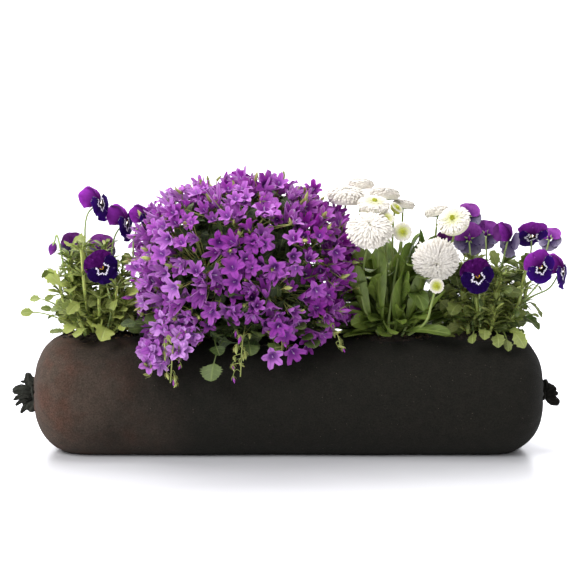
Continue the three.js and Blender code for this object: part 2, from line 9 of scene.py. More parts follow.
import bmesh
import bpy
import numpy as np
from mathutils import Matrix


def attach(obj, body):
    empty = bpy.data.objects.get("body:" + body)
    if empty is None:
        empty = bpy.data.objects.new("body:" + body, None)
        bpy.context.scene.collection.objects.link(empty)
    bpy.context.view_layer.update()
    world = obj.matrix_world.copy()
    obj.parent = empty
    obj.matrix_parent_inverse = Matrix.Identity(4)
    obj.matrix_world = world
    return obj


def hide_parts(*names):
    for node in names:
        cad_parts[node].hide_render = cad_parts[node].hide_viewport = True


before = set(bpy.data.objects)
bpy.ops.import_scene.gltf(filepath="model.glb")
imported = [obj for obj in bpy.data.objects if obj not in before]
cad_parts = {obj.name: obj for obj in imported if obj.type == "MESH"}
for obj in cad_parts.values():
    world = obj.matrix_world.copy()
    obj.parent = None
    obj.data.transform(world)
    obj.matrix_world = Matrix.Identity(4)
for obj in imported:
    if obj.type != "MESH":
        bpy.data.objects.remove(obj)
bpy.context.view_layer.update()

bl_info = {
    "name": "Planted fabric sleeve",
    "version": (1, 0, 0),
    "blender": (4, 5, 0),
    "location": "3D View > Sidebar > Planter",
    "description": "A soil-filled textile tube planted with violas, bellflower and double daisies",
    "category": "Add Mesh",
}

MM = 0.001
TURN = 2 * math.pi
GOLDEN_ANGLE = math.pi * (3 - math.sqrt(5))
UP = np.array([0.0, 0.0, 1.0])
MERGE = 2e-6  # points that are closer than this, in metres, are one
SEEDS = {"soil": 11, "viola_flowers": 21, "viola_leaves": 31, "bellflower": 41, "bellflower_leaves": 51,
         "daisies": 61, "daisy_leaves": 71}

# ---------------------------------------------------------------- driving dimensions, millimetres

SLEEVE = {"half_length": 254, "half_depth": 70, "half_height": 61, "centre_height": 54,
          "top_cap": 40, "bottom_cap": 66, "cap_power": 2.6, "section_power": 2.4}
CREST = SLEEVE["centre_height"] + SLEEVE["half_height"]
FOOT = CREST - 1.5  # where stalks leave the crowns
KNOT_HEIGHT = 54
# Gathers fade away from a knot, and at its middle, where they meet; each series of them has a number of
# ridges, a height and a phase.
GATHERS = {"fade": 24, "middle": 5, "outwards": 1.2, "series": [(17, 1.0, 0), (29, 0.6, 2), (11, 0.4, 0)]}
BULGES = [(0.9, 150), (0.35, 47)]  # heights and sizes of the slack bulges
# A root ball reaches under the cloth beyond its opening; its dome is rough in two sizes of lumps.
ROOT_BALL = {"beyond": 2.5, "under": 3.2, "dome": 3.0, "lumps": [(1.6, 13), (1.0, 5.5)]}
CRUMBS = {"count": 150, "size": (0.8, 2.6), "flatness": (1.2, 1.0, 0.7)}

OPENINGS = {
    "viola_left": {"x": -190, "half_x": 34, "half_y": 29, "depth": 74, "taper": 0.75},
    "campanula": {"x": -45, "half_x": 50, "half_y": 38, "depth": 86, "taper": 0.78},
    "bellis": {"x": 102, "half_x": 38, "half_y": 32, "depth": 78, "taper": 0.75},
    "viola_right": {"x": 196, "half_x": 34, "half_y": 29, "depth": 74, "taper": 0.75},
}

# The mound is a little flattened in front. Below its sprays, within leafy_half of its middle, are leaves.
MOUND = {"centre": (-44, -6, 176), "half": (106, 84, 92), "power": 2.7, "front": -88, "lowest": 92,
         "leafy_half": 58, "sprays": 14, "spray_turns": 19}
# Its layers: how many places they have, the shares of its size between which they lie, and the height
# under which leaves take their place in its middle. The number of bells is a setting.
BELL_LAYER = [(0.84, 1.03), 132]
BUD_LAYER = [200, (0.9, 1.1), 100]
LEAF_LAYER = [1700, (0.36, 0.88), MOUND["lowest"]]

# Head centre, the way the face looks, how far it is rolled over to its left in degrees, radius, then
# the stalk's points down to the crown.
VIOLAS_LEFT = [
    [(-186, -5, 248), (0.92, -0.3, 0.15), 0, 20, [(-202, -4, 226), (-200, -4, 150), (-196, -4, FOOT)]],
    [(-162, 9, 227), (0.96, -0.25, 0.05), 0, 20, [(-176, 9, 206), (-181, 8, 150), (-184, 6, FOOT)]],
    [(-138, -14, 233), (0.9, -0.35, 0.2), 0, 17.5, [(-153, -13, 212), (-156, -12, 150), (-174, -10, FOOT)]],
    [(-182, -42, 186), (0.25, -0.95, -0.12), 38, 17, [(-178, -31, 166), (-175, -27, 140), (-184, -16, FOOT)]],
    [(-189, 22, 198), (0.1, 0.95, -0.3), 10, 15.5, [(-188, 27, 170), (-189, 22, 140), (-189, 16, FOOT)]],
    [(-218, 14, 202), (-0.45, 0.8, -0.2), 0, 14, [(-211, 8, 190), (-208, 6, 150), (-203, 6, FOOT)]],
    [(-234, -8, 203), (-0.3, -0.2, -1), 0, 5.5, [(-229, -10, 214), (-222, -12, 180), (-206, -14, FOOT)]],
]
VIOLAS_RIGHT = [
    [(184, -45, 178), (0.22, -0.95, -0.12), 14, 17.5, [(187, -33, 160), (189, -28, 138), (190, -16, FOOT)]],
    [(248, -26, 185), (0.4, -0.9, -0.1), 28, 17, [(251, -12, 172), (234, -12, 150), (206, -10, FOOT)]],
    [(275, 6, 178), (0.9, -0.4, 0), 0, 19, [(262, 10, 160), (240, 8, 148), (210, 4, FOOT)]],
    [(243, 4, 213), (0.15, -0.6, -0.75), 0, 17.5, [(243, 18, 190), (228, 15, 150), (206, 14, FOOT)]],
    [(265, 26, 207), (0.4, 0.7, -0.6), 0, 13, [(256, 20, 185), (235, 24, 150), (209, 16, FOOT)]],
    [(220, -10, 211), (0.82, 0.4, -0.1), 0, 18.5, [(212, -8, 186), (207, -2, 150), (200, -2, FOOT)]],
    [(198, 14, 213), (0.1, 0.9, -0.4), 10, 15, [(198, 6, 188), (197, 6, 150), (196, 6, FOOT)]],
    [(178, -14, 211), (0, 0.95, -0.3), -12, 16.5, [(180, -26, 180), (182, -20, 150), (184, -6, FOOT)]],
    [(181, 18, 231), (0.3, 0.9, -0.3), 0, 14, [(180, 12, 200), (184, 12, 150), (188, 14, FOOT)]],
    [(156, 24, 207), (-0.3, 1, 0.2), 0, 11, [(159, 16, 180), (168, 16, 150), (183, 16, FOOT)]],
]

# Head centre, the way the head looks, radius, the scape's points down to the crown, and how far the
# head has opened: 1 is a full white cushion, 0 a greenish-yellow bud.
BELLIS_HEADS = [
    [(57, -6, 250), (0.05, -0.15, 1), 21, [(53, -4, 215), (64, -2, 160), (92, -8, FOOT)], 1.0],
    [(73, 28, 261), (0.05, 0, 1), 14, [(72, 25, 215), (78, 18, 160), (95, 10, FOOT)], 1.0],
    [(83, -29, 243), (0.1, -0.4, 1), 17, [(85, -16, 215), (88, -10, 160), (99, -6, FOOT)], 0.7],
    [(96, 12, 251), (0.05, 0.1, 1), 16.5, [(95, 11, 215), (98, 8, 160), (102, 6, FOOT)], 0.9],
    [(115, 20, 241), (0.15, 0.1, 1), 12.5, [(114, 19, 210), (112, 14, 160), (108, 12, FOOT)], 0.9],
    [(105, -16, 241), (0.6, -0.4, 0.7), 7.5, [(103, -9, 215), (104, -4, 160), (106, -2, FOOT)], 0.2],
    [(95, -40, 232), (-0.2, -0.9, 0.55), 9, [(96, -25, 212), (97, -18, 160), (100, -14, FOOT)], 0.3],
    [(78, -50, 221), (0, -0.68, 0.73), 23.5, [(74, -32, 190), (73, -26, 150), (91, -16, FOOT)], 1.0],
    [(110, -44, 221), (0.05, -1, 0.2), 10, [(108, -31, 200), (101, -27, 150), (98, -20, FOOT)], 0.3],
    [(143, -42, 196), (0, -0.92, -0.38), 24, [(140, -18, 188), (126, -20, 150), (112, -18, FOOT)], 1.0],
    [(142, -66, 171), (0, -1, 0.1), 7.5, [(139, -54, 154), (133, -45, 132), (115, -16, FOOT)], 0.1],
    [(148, 2, 235), (-0.25, 0.1, 1), 13.5, [(145, 4, 205), (132, 2, 160), (112, 0, FOOT)], 0.9],
    [(162, -36, 229), (-0.35, -0.65, 0.65), 17.5, [(160, -14, 202), (140, -12, 150), (116, -10, FOOT)], 0.65],
]

# Leaves spread round a crown: how many, how far they reach, how high they climb, how wide they are, how
# far out they start as a share of their reach, and how oval the rosette is.
ROSETTES = {
    "viola": [36, (16, 50), (6, 40), (7, 15), (0.2, 1), 1.1],
    "bellflower": [110, (36, 80), (2, 26), (9, 17), (0.2, 0.9), 1.45],
    "daisy_upright": [84, (12, 48), (44, 96), (14, 23), (0.1, 0.9), 1.15],
    "daisy_low": [64, (26, 56), (4, 34), (11, 18), (0.1, 0.9), 1.25],
}

# Single leaves: each runs from its base over a bend to its tip, with its greatest width last.
VIOLA_LEFT_LEAVES = [
    [(-214, -18, 150), (-228, -10, 172), (-243, -6, 178), 14],
    [(-208, -6, 120), (-236, -8, 158), (-258, -8, 150), 9],
    [(-208, -10, 120), (-240, -18, 144), (-266, -18, 138), 9],
    [(-202, -14, 120), (-212, -36, 134), (-217, -48, 122), 13],
    [(-192, -16, 120), (-200, -40, 132), (-207, -54, 119), 14],
    [(-180, -14, 120), (-178, -42, 134), (-182, -58, 116), 19],
    [(-168, -12, 145), (-158, -26, 164), (-148, -36, 160), 15],
    [(-214, -18, 150), (-212, -32, 170), (-214, -44, 162), 13],
    [(-217, -10, 192), (-212, -14, 218), (-202, -20, 208), 16],
    [(-178, 8, 120), (-160, 18, 158), (-146, 22, 152), 15],
    [(-190, 14, 120), (-196, 44, 140), (-200, 60, 116), 17],
    [(-178, 12, 120), (-160, 40, 138), (-152, 56, 116), 17],
    [(-204, 22, 140), (-226, 34, 150), (-240, 42, 136), 15],
    [(-166, -10, 174), (-166, -8, 190), (-158, -4, 196), 10],
]
VIOLA_LEFT_STEMS = [
    [(-200, -18, FOOT), (-214, -18, 150), (-217, -10, 192)],
    [(-176, -6, FOOT), (-168, -12, 145), (-166, -10, 174)],
    [(-198, 18, FOOT), (-204, 22, 140), (-208, 26, 168)],
]
VIOLA_RIGHT_LEAVES = [
    [(188, -14, 120), (180, -44, 130), (178, -60, 114), 10],
    [(196, -16, 120), (192, -42, 133), (190, -56, 117), 12],
    [(202, -14, 120), (206, -42, 128), (203, -61, 110), 13],
    [(206, -12, 120), (214, -40, 128), (213, -58, 106), 9],
    [(208, -12, 120), (222, -36, 130), (230, -50, 108), 14],
    [(214, -6, 120), (232, -14, 146), (248, -22, 122), 16],
    [(222, -4, 146), (240, -14, 158), (250, -22, 134), 14],
    [(174, -14, 146), (164, -32, 152), (158, -46, 140), 15],
    [(172, -12, 178), (166, -24, 190), (160, -34, 180), 14],
    [(204, -18, 146), (212, -30, 168), (216, -38, 160), 14],
    [(230, -4, 178), (236, -8, 192), (240, -12, 196), 12],
    [(182, 10, 120), (160, 24, 148), (150, 36, 134), 16],
    [(194, 16, 120), (186, 44, 138), (184, 60, 114), 17],
    [(204, 26, 140), (220, 44, 146), (226, 58, 128), 16],
    [(212, 8, 120), (236, 22, 144), (250, 32, 122), 15],
    [(206, -20, 176), (204, -24, 196), (198, -22, 200), 12],
    [(176, -8, 120), (162, -16, 140), (150, -20, 150), 15],
    [(178, 4, 120), (160, 6, 136), (146, 8, 140), 16],
    [(174, -10, 146), (160, -12, 164), (150, -14, 158), 14],
    [(178, -8, 120), (170, -14, 162), (162, -20, 186), 15],
    [(180, 2, 120), (172, 6, 150), (158, 8, 178), 16],
    [(180, -6, 116), (166, -12, 122), (150, -14, 116), 15],
    [(180, 14, 120), (166, 18, 140), (148, 20, 150), 16],
    [(182, 16, 120), (168, 20, 152), (158, 22, 170), 16],
]
VIOLA_RIGHT_STEMS = [
    [(180, -12, FOOT), (174, -14, 146), (172, -12, 178)],
    [(198, -14, FOOT), (204, -18, 146), (206, -20, 176)],
    [(214, -2, FOOT), (222, -4, 146), (230, -4, 178)],
    [(200, 20, FOOT), (204, 26, 140), (208, 30, 172)],
]
BELLIS_LEAVES = [
    [(86, -10, 118), (66, -14, 150), (64, -20, 198), 14],
    [(88, -14, 118), (69, -28, 150), (66, -36, 188), 16],
    [(95, -18, 118), (86, -38, 160), (88, -38, 206), 17],
    [(106, -18, 118), (106, -40, 150), (113, -42, 190), 19],
    [(110, -14, 118), (128, -34, 150), (130, -34, 180), 18],
    [(114, -4, 118), (134, -8, 160), (130, -8, 222), 14],
    [(116, -14, 118), (140, -34, 142), (154, -36, 164), 15],
    [(110, -20, 118), (124, -50, 130), (158, -54, 122), 16],
    [(100, -20, 118), (96, -50, 134), (98, -62, 124), 19],
    [(86, -4, 118), (68, 6, 146), (66, 8, 172), 14],
    [(92, 14, 118), (76, 34, 150), (72, 40, 190), 17],
    [(104, 16, 118), (104, 38, 150), (108, 44, 198), 18],
    [(112, 12, 118), (130, 28, 150), (134, 34, 186), 17],
    [(98, 18, 118), (82, 48, 132), (76, 60, 120), 18],
    [(116, 6, 118), (142, 12, 140), (154, 14, 156), 16],
    [(118, 6, 118), (138, 6, 170), (146, 2, 214), 17],
    [(116, -8, 118), (146, -10, 150), (158, -12, 190), 16],
    [(108, 2, 118), (120, -2, 170), (120, -4, 208), 16],
    [(92, 2, 118), (76, 4, 170), (78, 2, 210), 15],
    [(118, 0, 118), (146, 4, 134), (168, 6, 126), 18],
    [(116, -10, 118), (148, -20, 136), (166, -24, 140), 17],
    [(112, 10, 118), (146, 16, 146), (164, 18, 150), 18],
    [(116, -4, 118), (140, -6, 154), (161, -8, 164), 17],
    [(88, 2, 118), (66, 4, 132), (50, 4, 122), 17],
    [(86, -8, 118), (66, -18, 130), (54, -22, 124), 16],
    [(90, -6, 116), (66, -12, 122), (46, -14, 116), 15],
    [(88, 8, 118), (70, 14, 142), (56, 16, 152), 18],
    [(86, 10, 116), (62, 16, 124), (40, 18, 128), 17],
    [(112, 12, 116), (140, 18, 126), (172, 20, 124), 18],
]
# Each knot lies on one side and has a size; its tails run from the end of the sleeve outwards, with a
# start, bend, tip and width.
# A knot's tone is its cloth colour: the left knot's lighter grey is painted light and painted reflection on
# its folds, the right knot's is the cloth's own dark.
KNOTS = {
    "left": {"side": -1, "phase": 3, "girth": 1.0, "tone": "knot", "tails": [
        [(3, -4, 4), (8, -8, 12), (7, -6, 23), 12],
        [(5, 4, 3), (8, 8, 12), (6, 9, 17), 10],
        [(9, -6, 12), (12, -7, 14), (15, -7, 14), 3],
        [(4, -6, 2), (14, -10, 8), (23, -7, 3), 12],
        [(6, -7, -2), (15, -10, 1), (22, -8, -5), 6],
        [(8, -6, -5), (15, -8, -4), (20, -6, -11), 5],
        [(6, -3, -6), (12, -7, -12), (15, -5, -19), 6],
        [(2, -5, -6), (4, -9, -12), (8, -7, -16), 13],
        [(6, 5, -4), (12, 9, -8), (14, 10, -14), 11],
        [(7, 6, 1), (15, 10, 2), (20, 9, 4), 11],
    ]},
    "right": {"side": 1, "phase": 8, "girth": 0.72, "tone": "dark", "tails": [
        [(4, -3, 0), (5, -6, 8), (3, -5, 16), 8],
        [(5, -5, 2), (10, -8, 6), (14, -7, 8), 12],
        [(5, -5, 0), (12, -8, 3), (16, -7, 1), 7],
        [(4, -4, -2), (11, -7, -6), (18, -6, -9), 11],
        [(5, 5, 2), (9, 8, 6), (11, 9, 9), 10],
        [(6, 5, -3), (11, 8, -6), (14, 9, -9), 10],
    ]},
}
# Rounded parts of a knot: how far out each ring of points is, its radius, the part's depth as a share of
# its height, and the number and depth of its creases.
KNOT_ROUNDS = [
    [(-2, -1.5, 0.5, 1.6, 2.6, 4), (0, 10, 9.5, 9, 7, 0), 0.9, 15, 0.16],
    [(0.2, 0.2, 0.6, 1.9, 3.3, 3.9, 3.9), (0, 8.8, 10.6, 11.6, 10.6, 8.8, 0), 0.9, 5, 0.07],
    [(3.2, 3.6, 5.5, 8, 10.5, 12.5, 14, 14), (0, 6.5, 9.5, 11, 9.5, 7, 4, 0), 0.85, 9, 0.3],
]
CAMPANULA_LEAVES = [
    [(-56, -18, 122), (-80, -60, 132), (-66, -84, 106), 15],
    [(-52, -20, 122), (-70, -76, 122), (-74, -89, 82), 22],
    [(-42, -20, 122), (-40, -64, 130), (-36, -84, 106), 17],
    [(-32, -18, 122), (-14, -62, 130), (-12, -82, 108), 17],
    [(-66, -14, 122), (-100, -54, 130), (-110, -76, 112), 18],
    [(-24, -14, 122), (14, -54, 128), (26, -74, 112), 17],
    [(-58, 18, 122), (-76, 56, 130), (-74, 80, 104), 24],
    [(-42, 20, 122), (-38, 60, 130), (-34, 82, 102), 24],
    [(-30, 16, 122), (-6, 52, 130), (2, 76, 108), 24],
    [(-68, 12, 122), (-104, 44, 130), (-116, 62, 112), 22],
    [(-70, -4, 122), (-112, -14, 134), (-138, -18, 122), 22],
    [(-20, 4, 122), (18, 8, 134), (46, 10, 122), 22],
]


def colour(text):
    """Linear red, green, blue and alpha of an sRGB hex colour such as "#8a7f70"."""
    parts = [int(text[i:i + 2], 16) / 255 for i in (1, 3, 5)]
    linear = [p / 12.92 if p <= 0.04045 else ((p + 0.055) / 1.055) ** 2.4 for p in parts]
    return (*linear, 1.0)


# ---------------------------------------------------------------- settings a user would change


def length(name, description, millimetres):
    """A length setting, kept in metres as Blender keeps it."""
    return bpy.props.FloatProperty(
        name=name, description=description, default=millimetres * MM, min=0, unit="LENGTH")


def tone(name, description, text):
    """A colour setting."""
    return bpy.props.FloatVectorProperty(
        name=name, description=description, default=colour(text), size=4, min=0, max=1, subtype="COLOR")


class SleeveSettings(bpy.types.PropertyGroup):
    """Sizes and colours of the textile tube, its knots and the soil."""

    wall: length("Cloth thickness", "Thickness of the felted cloth", 1.5)
    pleat: length("Pleat depth", "How deep the gathered folds are near a knot", 1.3)
    dark: tone("Cloth, dark", "The textile where it is darkest", "#1a1915")
    # painted light: the left end's own browner tone, painted lighter where the key light falls
    brown: tone("Cloth, brown", "The faded, browner left end", "#4f423a")
    rust: tone("Cloth, rust", "Reddish patches on the left end", "#55382d")
    # painted light: lighter and greyer than the cloth, for the light and the reflection on the left knot's
    # folds
    knot: tone("Cloth, knots", "The greyer cloth of the knots", "#2f302b")
    soil: tone("Soil", "Damp potting soil", "#2a1d14")


class ViolaSettings(bpy.types.PropertyGroup):
    """Sizes and colours of the violas."""

    stalk: length("Stalk thickness", "Diameter of a flower stalk", 1.9)
    upper: tone("Upper petals", "Face of the two upper petals", "#33053f")
    lower: tone("Lower petals", "Face of the three lower petals", "#160434")
    back: tone("Petal backs", "Backs of the petals", "#561a6c")
    leaf: tone("Leaves", "Viola leaves in full light", "#97a052")


class BellflowerSettings(bpy.types.PropertyGroup):
    """Sizes and colours of the bellflower mound."""

    radius: length("Bell radius", "From the middle of a bell to the tip of a lobe", 12.5)
    bells: bpy.props.IntProperty(
        name="Bells", description="Places for bells on the whole mound", default=780, min=14)
    face: tone("Bell face", "Inside of the lobes", "#9f49ad")
    throat: tone("Throat", "Deep inside a bell", "#541f80")
    leaf: tone("Leaves", "Bellflower leaves in full light", "#5c6b3a")


class DaisySettings(bpy.types.PropertyGroup):
    """Sizes and colours of the double daisies."""

    scape: length("Scape thickness", "Diameter of a leafless flower stalk", 2.4)
    ray: tone("Rays", "White ray florets", "#faf4ea")
    young: tone("Young rays", "Middle of a head that is still opening", "#d6db6c")
    leaf: tone("Leaves", "Daisy leaves in full light", "#7c8f40")


class StageSettings(bpy.types.PropertyGroup):
    """The floor and the light."""

    floor: tone("Floor", "Glossy white studio floor", "#e6e6ea")
    key: bpy.props.FloatProperty(
        name="Key light", description="Strength of the soft light from the upper left", default=40, min=0,
        subtype="POWER", unit="POWER")


# ---------------------------------------------------------------- surfaces as whole arrays


def unit(vectors):
    """Vectors of length one."""
    return vectors / np.maximum(np.linalg.norm(vectors, axis=-1, keepdims=True), 1e-9)


def ways(turn):
    """Level directions at these angles."""
    return np.stack([np.cos(turn), np.sin(turn), 0 * turn], axis=-1)


def steps_round(count):
    """Angles of evenly spaced places round a circle."""
    return TURN * np.arange(count) / count


def quads_between(rows, columns, closed=True):
    """Corner numbers of the quads between neighbouring rows and columns of a grid of points. The last
    column of a closed grid meets its first."""
    index = np.arange(rows * columns).reshape(rows, columns)
    right = np.roll(index, -1, axis=1)
    quads = np.stack([index[:-1], right[:-1], right[1:], index[1:]], axis=-1)
    return quads if closed else quads[:, :-1]


class Skin:
    """Gathers closed grids for one mesh. A grid holds n like surfaces of rows by columns points: the
    columns run round and meet again, and the first and last rows each close in one point."""

    def __init__(self):
        self.count = 0
        self.points, self.faces, self.maps, self.tints, self.finishes = [], [], [], [], []

    def add(self, grid, uv, tint=0.5, finish=0):
        """Joins neighbouring points by quads, turned so that every surface faces outwards: where the
        sum of the signed volumes under a surface's quads is below zero, its quads run the other way."""
        n, rows, columns = grid.shape[:3]
        quads = quads_between(rows, columns) + np.arange(n).reshape(n, 1, 1, 1) * (rows * columns)
        points = grid.reshape(-1, 3)
        a, b, c, d = (points[quads[..., i]] for i in range(4))
        volume = np.einsum("...i,...i", a, np.cross(b, c)) + np.einsum("...i,...i", a, np.cross(c, d))
        inside_out = volume.sum(axis=(1, 2)) < 0
        quads = np.where(inside_out[:, None, None, None], quads[..., ::-1], quads)
        self.points.append(points)
        self.faces.append(quads.reshape(-1, 4) + self.count)
        self.maps.append(np.broadcast_to(uv, (n, rows, columns, 2)).reshape(-1, 2))
        tints = np.asarray(tint, float)
        tints = tints.reshape(n, 1, 1) if tints.shape == (n,) else tints
        self.tints.append(np.broadcast_to(tints, (n, rows, columns)).reshape(-1))
        self.finishes.append(np.broadcast_to(finish, (n, rows - 1, columns)).reshape(-1))
        self.count += len(points)

    def mesh(self, name, sharp=50):
        """One mesh of all the grids, with poles merged, in metres."""
        faces = np.concatenate(self.faces)
        mesh = bpy.data.meshes.new(name)
        mesh.from_pydata(np.concatenate(self.points) * MM, [], faces)
        mesh.polygons.foreach_set("material_index", np.concatenate(self.finishes).astype(np.int32))
        layer = mesh.uv_layers.new(name="surface")
        layer.data.foreach_set("uv", np.concatenate(self.maps)[faces.ravel()].ravel())
        tint = mesh.attributes.new("tint", "FLOAT", "POINT")
        tint.data.foreach_set("value", np.concatenate(self.tints))
        return tidied(mesh, sharp)


def tidied(mesh, sharp):
    """Merges the points of each pole, drops faces without area, and shades smooth up to an angle."""
    work = bmesh.new()
    work.from_mesh(mesh)
    bmesh.ops.remove_doubles(work, verts=work.verts, dist=MERGE)
    bmesh.ops.dissolve_degenerate(work, edges=work.edges, dist=1e-7)
    work.to_mesh(mesh)
    work.free()
    mesh.shade_smooth()
    mesh.set_sharp_from_angle(angle=math.radians(sharp))
    return mesh


def show(name, mesh, finishes, nodes):
    """Puts a finished mesh in the scene as a piece that stands for CAD nodes."""
    for finish in finishes:
        mesh.materials.append(finish)
    piece = bpy.data.objects.new(name, mesh)
    bpy.context.scene.collection.objects.link(piece)
    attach(piece, "root")
    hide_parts(*nodes)
    return piece


def through(points, t):
    """Smooth curves through k points each: cubic pieces whose slope at a point is half the chord
    between its neighbours. points is (n, k, 3) and t runs from 0 to 1."""
    points = np.asarray(points, float)
    last = points.shape[1] - 1
    before, after = 2 * points[:, :1] - points[:, 1:2], 2 * points[:, -1:] - points[:, -2:-1]
    ends = np.concatenate([before, points, after], 1)
    place = np.clip(t, 0, 1) * last
    piece = np.minimum(place.astype(int), last - 1)
    f = (place - piece)[None, :, None]
    p0, p1, p2, p3 = (ends[:, piece + i] for i in range(4))
    slope1, slope2 = (p2 - p0) / 2, (p3 - p1) / 2
    return ((2 * f**3 - 3 * f**2 + 1) * p1 + (f**3 - 2 * f**2 + f) * slope1
            + (3 * f**2 - 2 * f**3) * p2 + (f**3 - f**2) * slope2)


def bow(base, bend, tip, t):
    """Quadratic curves: (1 - t)^2 base + 2 t (1 - t) bend + t^2 tip. Ends are (n, 3)."""
    t = t[None, :, None]
    base, bend, tip = (np.asarray(p, float)[:, None] for p in (base, bend, tip))
    return (1 - t) ** 2 * base + 2 * t * (1 - t) * bend + t**2 * tip


def across(columns):
    """Round the section of a thin blade: s goes from edge to edge over the face and comes back under
    it, and body is the share of the thickness there, above or below, nothing at the edges."""
    over = np.linspace(-1, 1, columns)
    s = np.concatenate([over, over[-2:0:-1]])
    side = np.concatenate([np.ones(columns), -np.ones(columns - 2)])
    return s, side * (1 - s**2)


def crosswise(path, lean, twist=0.0):
    """Side and normal vectors along n paths: the side is level to the lean direction, and both are
    then turned round the path by a twist."""
    along = unit(np.gradient(path, axis=1))
    side = unit(np.cross(along, np.broadcast_to(lean, (len(path), 3))[:, None]))
    normal = np.cross(side, along)
    twist = np.asarray(twist, float).reshape(-1, 1, 1)
    return side * np.cos(twist) + normal * np.sin(twist), normal * np.cos(twist) - side * np.sin(twist)


def blades(rib, half_width, thickness, lean=(0, 0, 1), twist=0.0, fold=0.0, cup=0.0, ripple=0.0, columns=5,
           pleats=0.0):
    """Thin closed blades on n ribs: point = rib + s w side + (fold |s| + cup s^2 + wave s^2) w normal,
    plus or minus half the thickness, where w is the half width at that row and s runs across. Pleats
    run along a blade and grow towards its end: their height is pleats t^0.7 sin(7 s + phase)."""
    side, normal = crosswise(rib, lean, twist)
    s, body = across(columns)
    n, rows = rib.shape[:2]
    w = np.broadcast_to(half_width, (n, rows)).copy()
    w[:, [0, -1]] = 0
    t = np.linspace(0, 1, rows)
    number = np.arange(n)[:, None]
    full = np.minimum(1, w / np.maximum(w.max(axis=1, keepdims=True) * 0.3, 1e-6))[..., None]
    wave = ripple * np.sin(t * 15 + number * 1.7)[..., None] * np.sign(s)
    lift = (fold * np.abs(s) + cup * s**2 + wave * s**2) * w[..., None]
    lift = lift + 0.5 * thickness * body * full
    lift = lift + pleats * t[:, None] ** 0.7 * np.sin(7 * s + number[..., None] * 2.1) * full
    sideways = side[:, :, None] * (w[..., None] * s)[..., None]
    grid = rib[:, :, None] + sideways + normal[:, :, None] * lift[..., None]
    uv = np.stack(np.broadcast_arrays(0.5 + 0.5 * s, t[:, None]), axis=-1)
    return grid, uv


def over_under(columns, above, below):
    """Material numbers round a blade's section: one for its face and one for its back."""
    return np.concatenate([np.full(columns - 1, above), np.full(columns - 1, below)])


def tubes(path, radius, sides=6):
    """Closed round tubes along n paths, with a radius for each row, ended by a point at both ends."""
    along = unit(np.gradient(path, axis=1))
    lean = np.eye(3)[np.abs(along.mean(axis=1)).argmin(axis=1)]
    side, normal = crosswise(path, lean)
    n, rows = path.shape[:2]
    radius = np.broadcast_to(radius, (n, rows)).copy()
    radius[:, [0, -1]] = 0
    angle = steps_round(sides)[:, None]
    ring = side[:, :, None] * np.cos(angle) + normal[:, :, None] * np.sin(angle)
    grid = path[:, :, None] + ring * radius[..., None, None]
    uv = np.stack(np.broadcast_arrays(np.arange(sides) / sides, np.linspace(0, 1, rows)[:, None]), axis=-1)
    return grid, uv


def doubled_ends(t):
    """The same steps with the first and last ones repeated, for a tube that ends flat."""
    return np.concatenate([t[:1], t, t[-1:]])


def bodies(start, end, radius, profile, sides=6):
    """Closed round bodies from start to end, whose radius follows a profile of shares."""
    t = np.linspace(0, 1, len(profile))
    path = start[:, None] + (end - start)[:, None] * t[None, :, None]
    return tubes(path, np.asarray(radius, float).reshape(-1, 1) * np.asarray(profile), sides)


def turned(facing, roll=0.0):
    """Turned frames, one row per local axis: z looks along facing and y is as upright as it can be,
    and both x and y are then rolled round z."""
    z = unit(np.asarray(facing, float))
    upright = np.where(np.abs(z[:, 2:]) > 0.97, [[0.0, 1.0, 0.0]], [[0.0, 0.0, 1.0]])
    x = unit(np.cross(upright, z))
    y = np.cross(z, x)
    roll = np.broadcast_to(np.asarray(roll, float).reshape(-1, 1), (len(z), 1))
    return np.stack([x * np.cos(roll) + y * np.sin(roll), y * np.cos(roll) - x * np.sin(roll), z], axis=1)


def placed(local, centre, axes):
    """Points of n shapes moved out of their own frames: centre + x X + y Y + z Z."""
    n = len(axes)
    local = np.broadcast_to(local, (n, *local.shape[-3:]))
    return np.einsum("nrci,nij->nrcj", local, axes) + np.asarray(centre, float)[:, None, None]


def spiral(count):
    """Evenly spread directions: equal steps in height, each turned on by the golden angle."""
    i = np.arange(count)
    up = (1 - (2 * (i + 0.5)) / count)[:, None]
    return np.sqrt(1 - up * up) * ways(i * GOLDEN_ANGLE) + up * UP


def on_mound(direction, share):
    """Point of the blunt ellipsoid |x/a|^p + |y/b|^p + |z/c|^p = 1 in a direction, at a share of it."""
    reach = (np.abs(direction) ** MOUND["power"]).sum(axis=-1, keepdims=True) ** (-1 / MOUND["power"])
    return direction * reach * np.reshape(share, (-1, 1)) * MOUND["half"] + MOUND["centre"]


def lumps(points, size):
    """A smooth uneven value from -1 to 1: four sine waves in different directions of a given size."""
    x, y, z = (points[..., i] * (TURN / size) for i in range(3))
    return (np.sin(x + 1.3 * np.sin(0.7 * y)) + np.sin(1.3 * y + 0.8 * z) + np.sin(0.9 * z - 0.6 * x + 1)
            + np.sin(0.7 * (x + y + z) + 2)) / 4


# ---------------------------------------------------------------- materials


def per_metre(millimetres):
    """Scale of a pattern whose features are this many millimetres apart."""
    return 1 / (millimetres * MM)


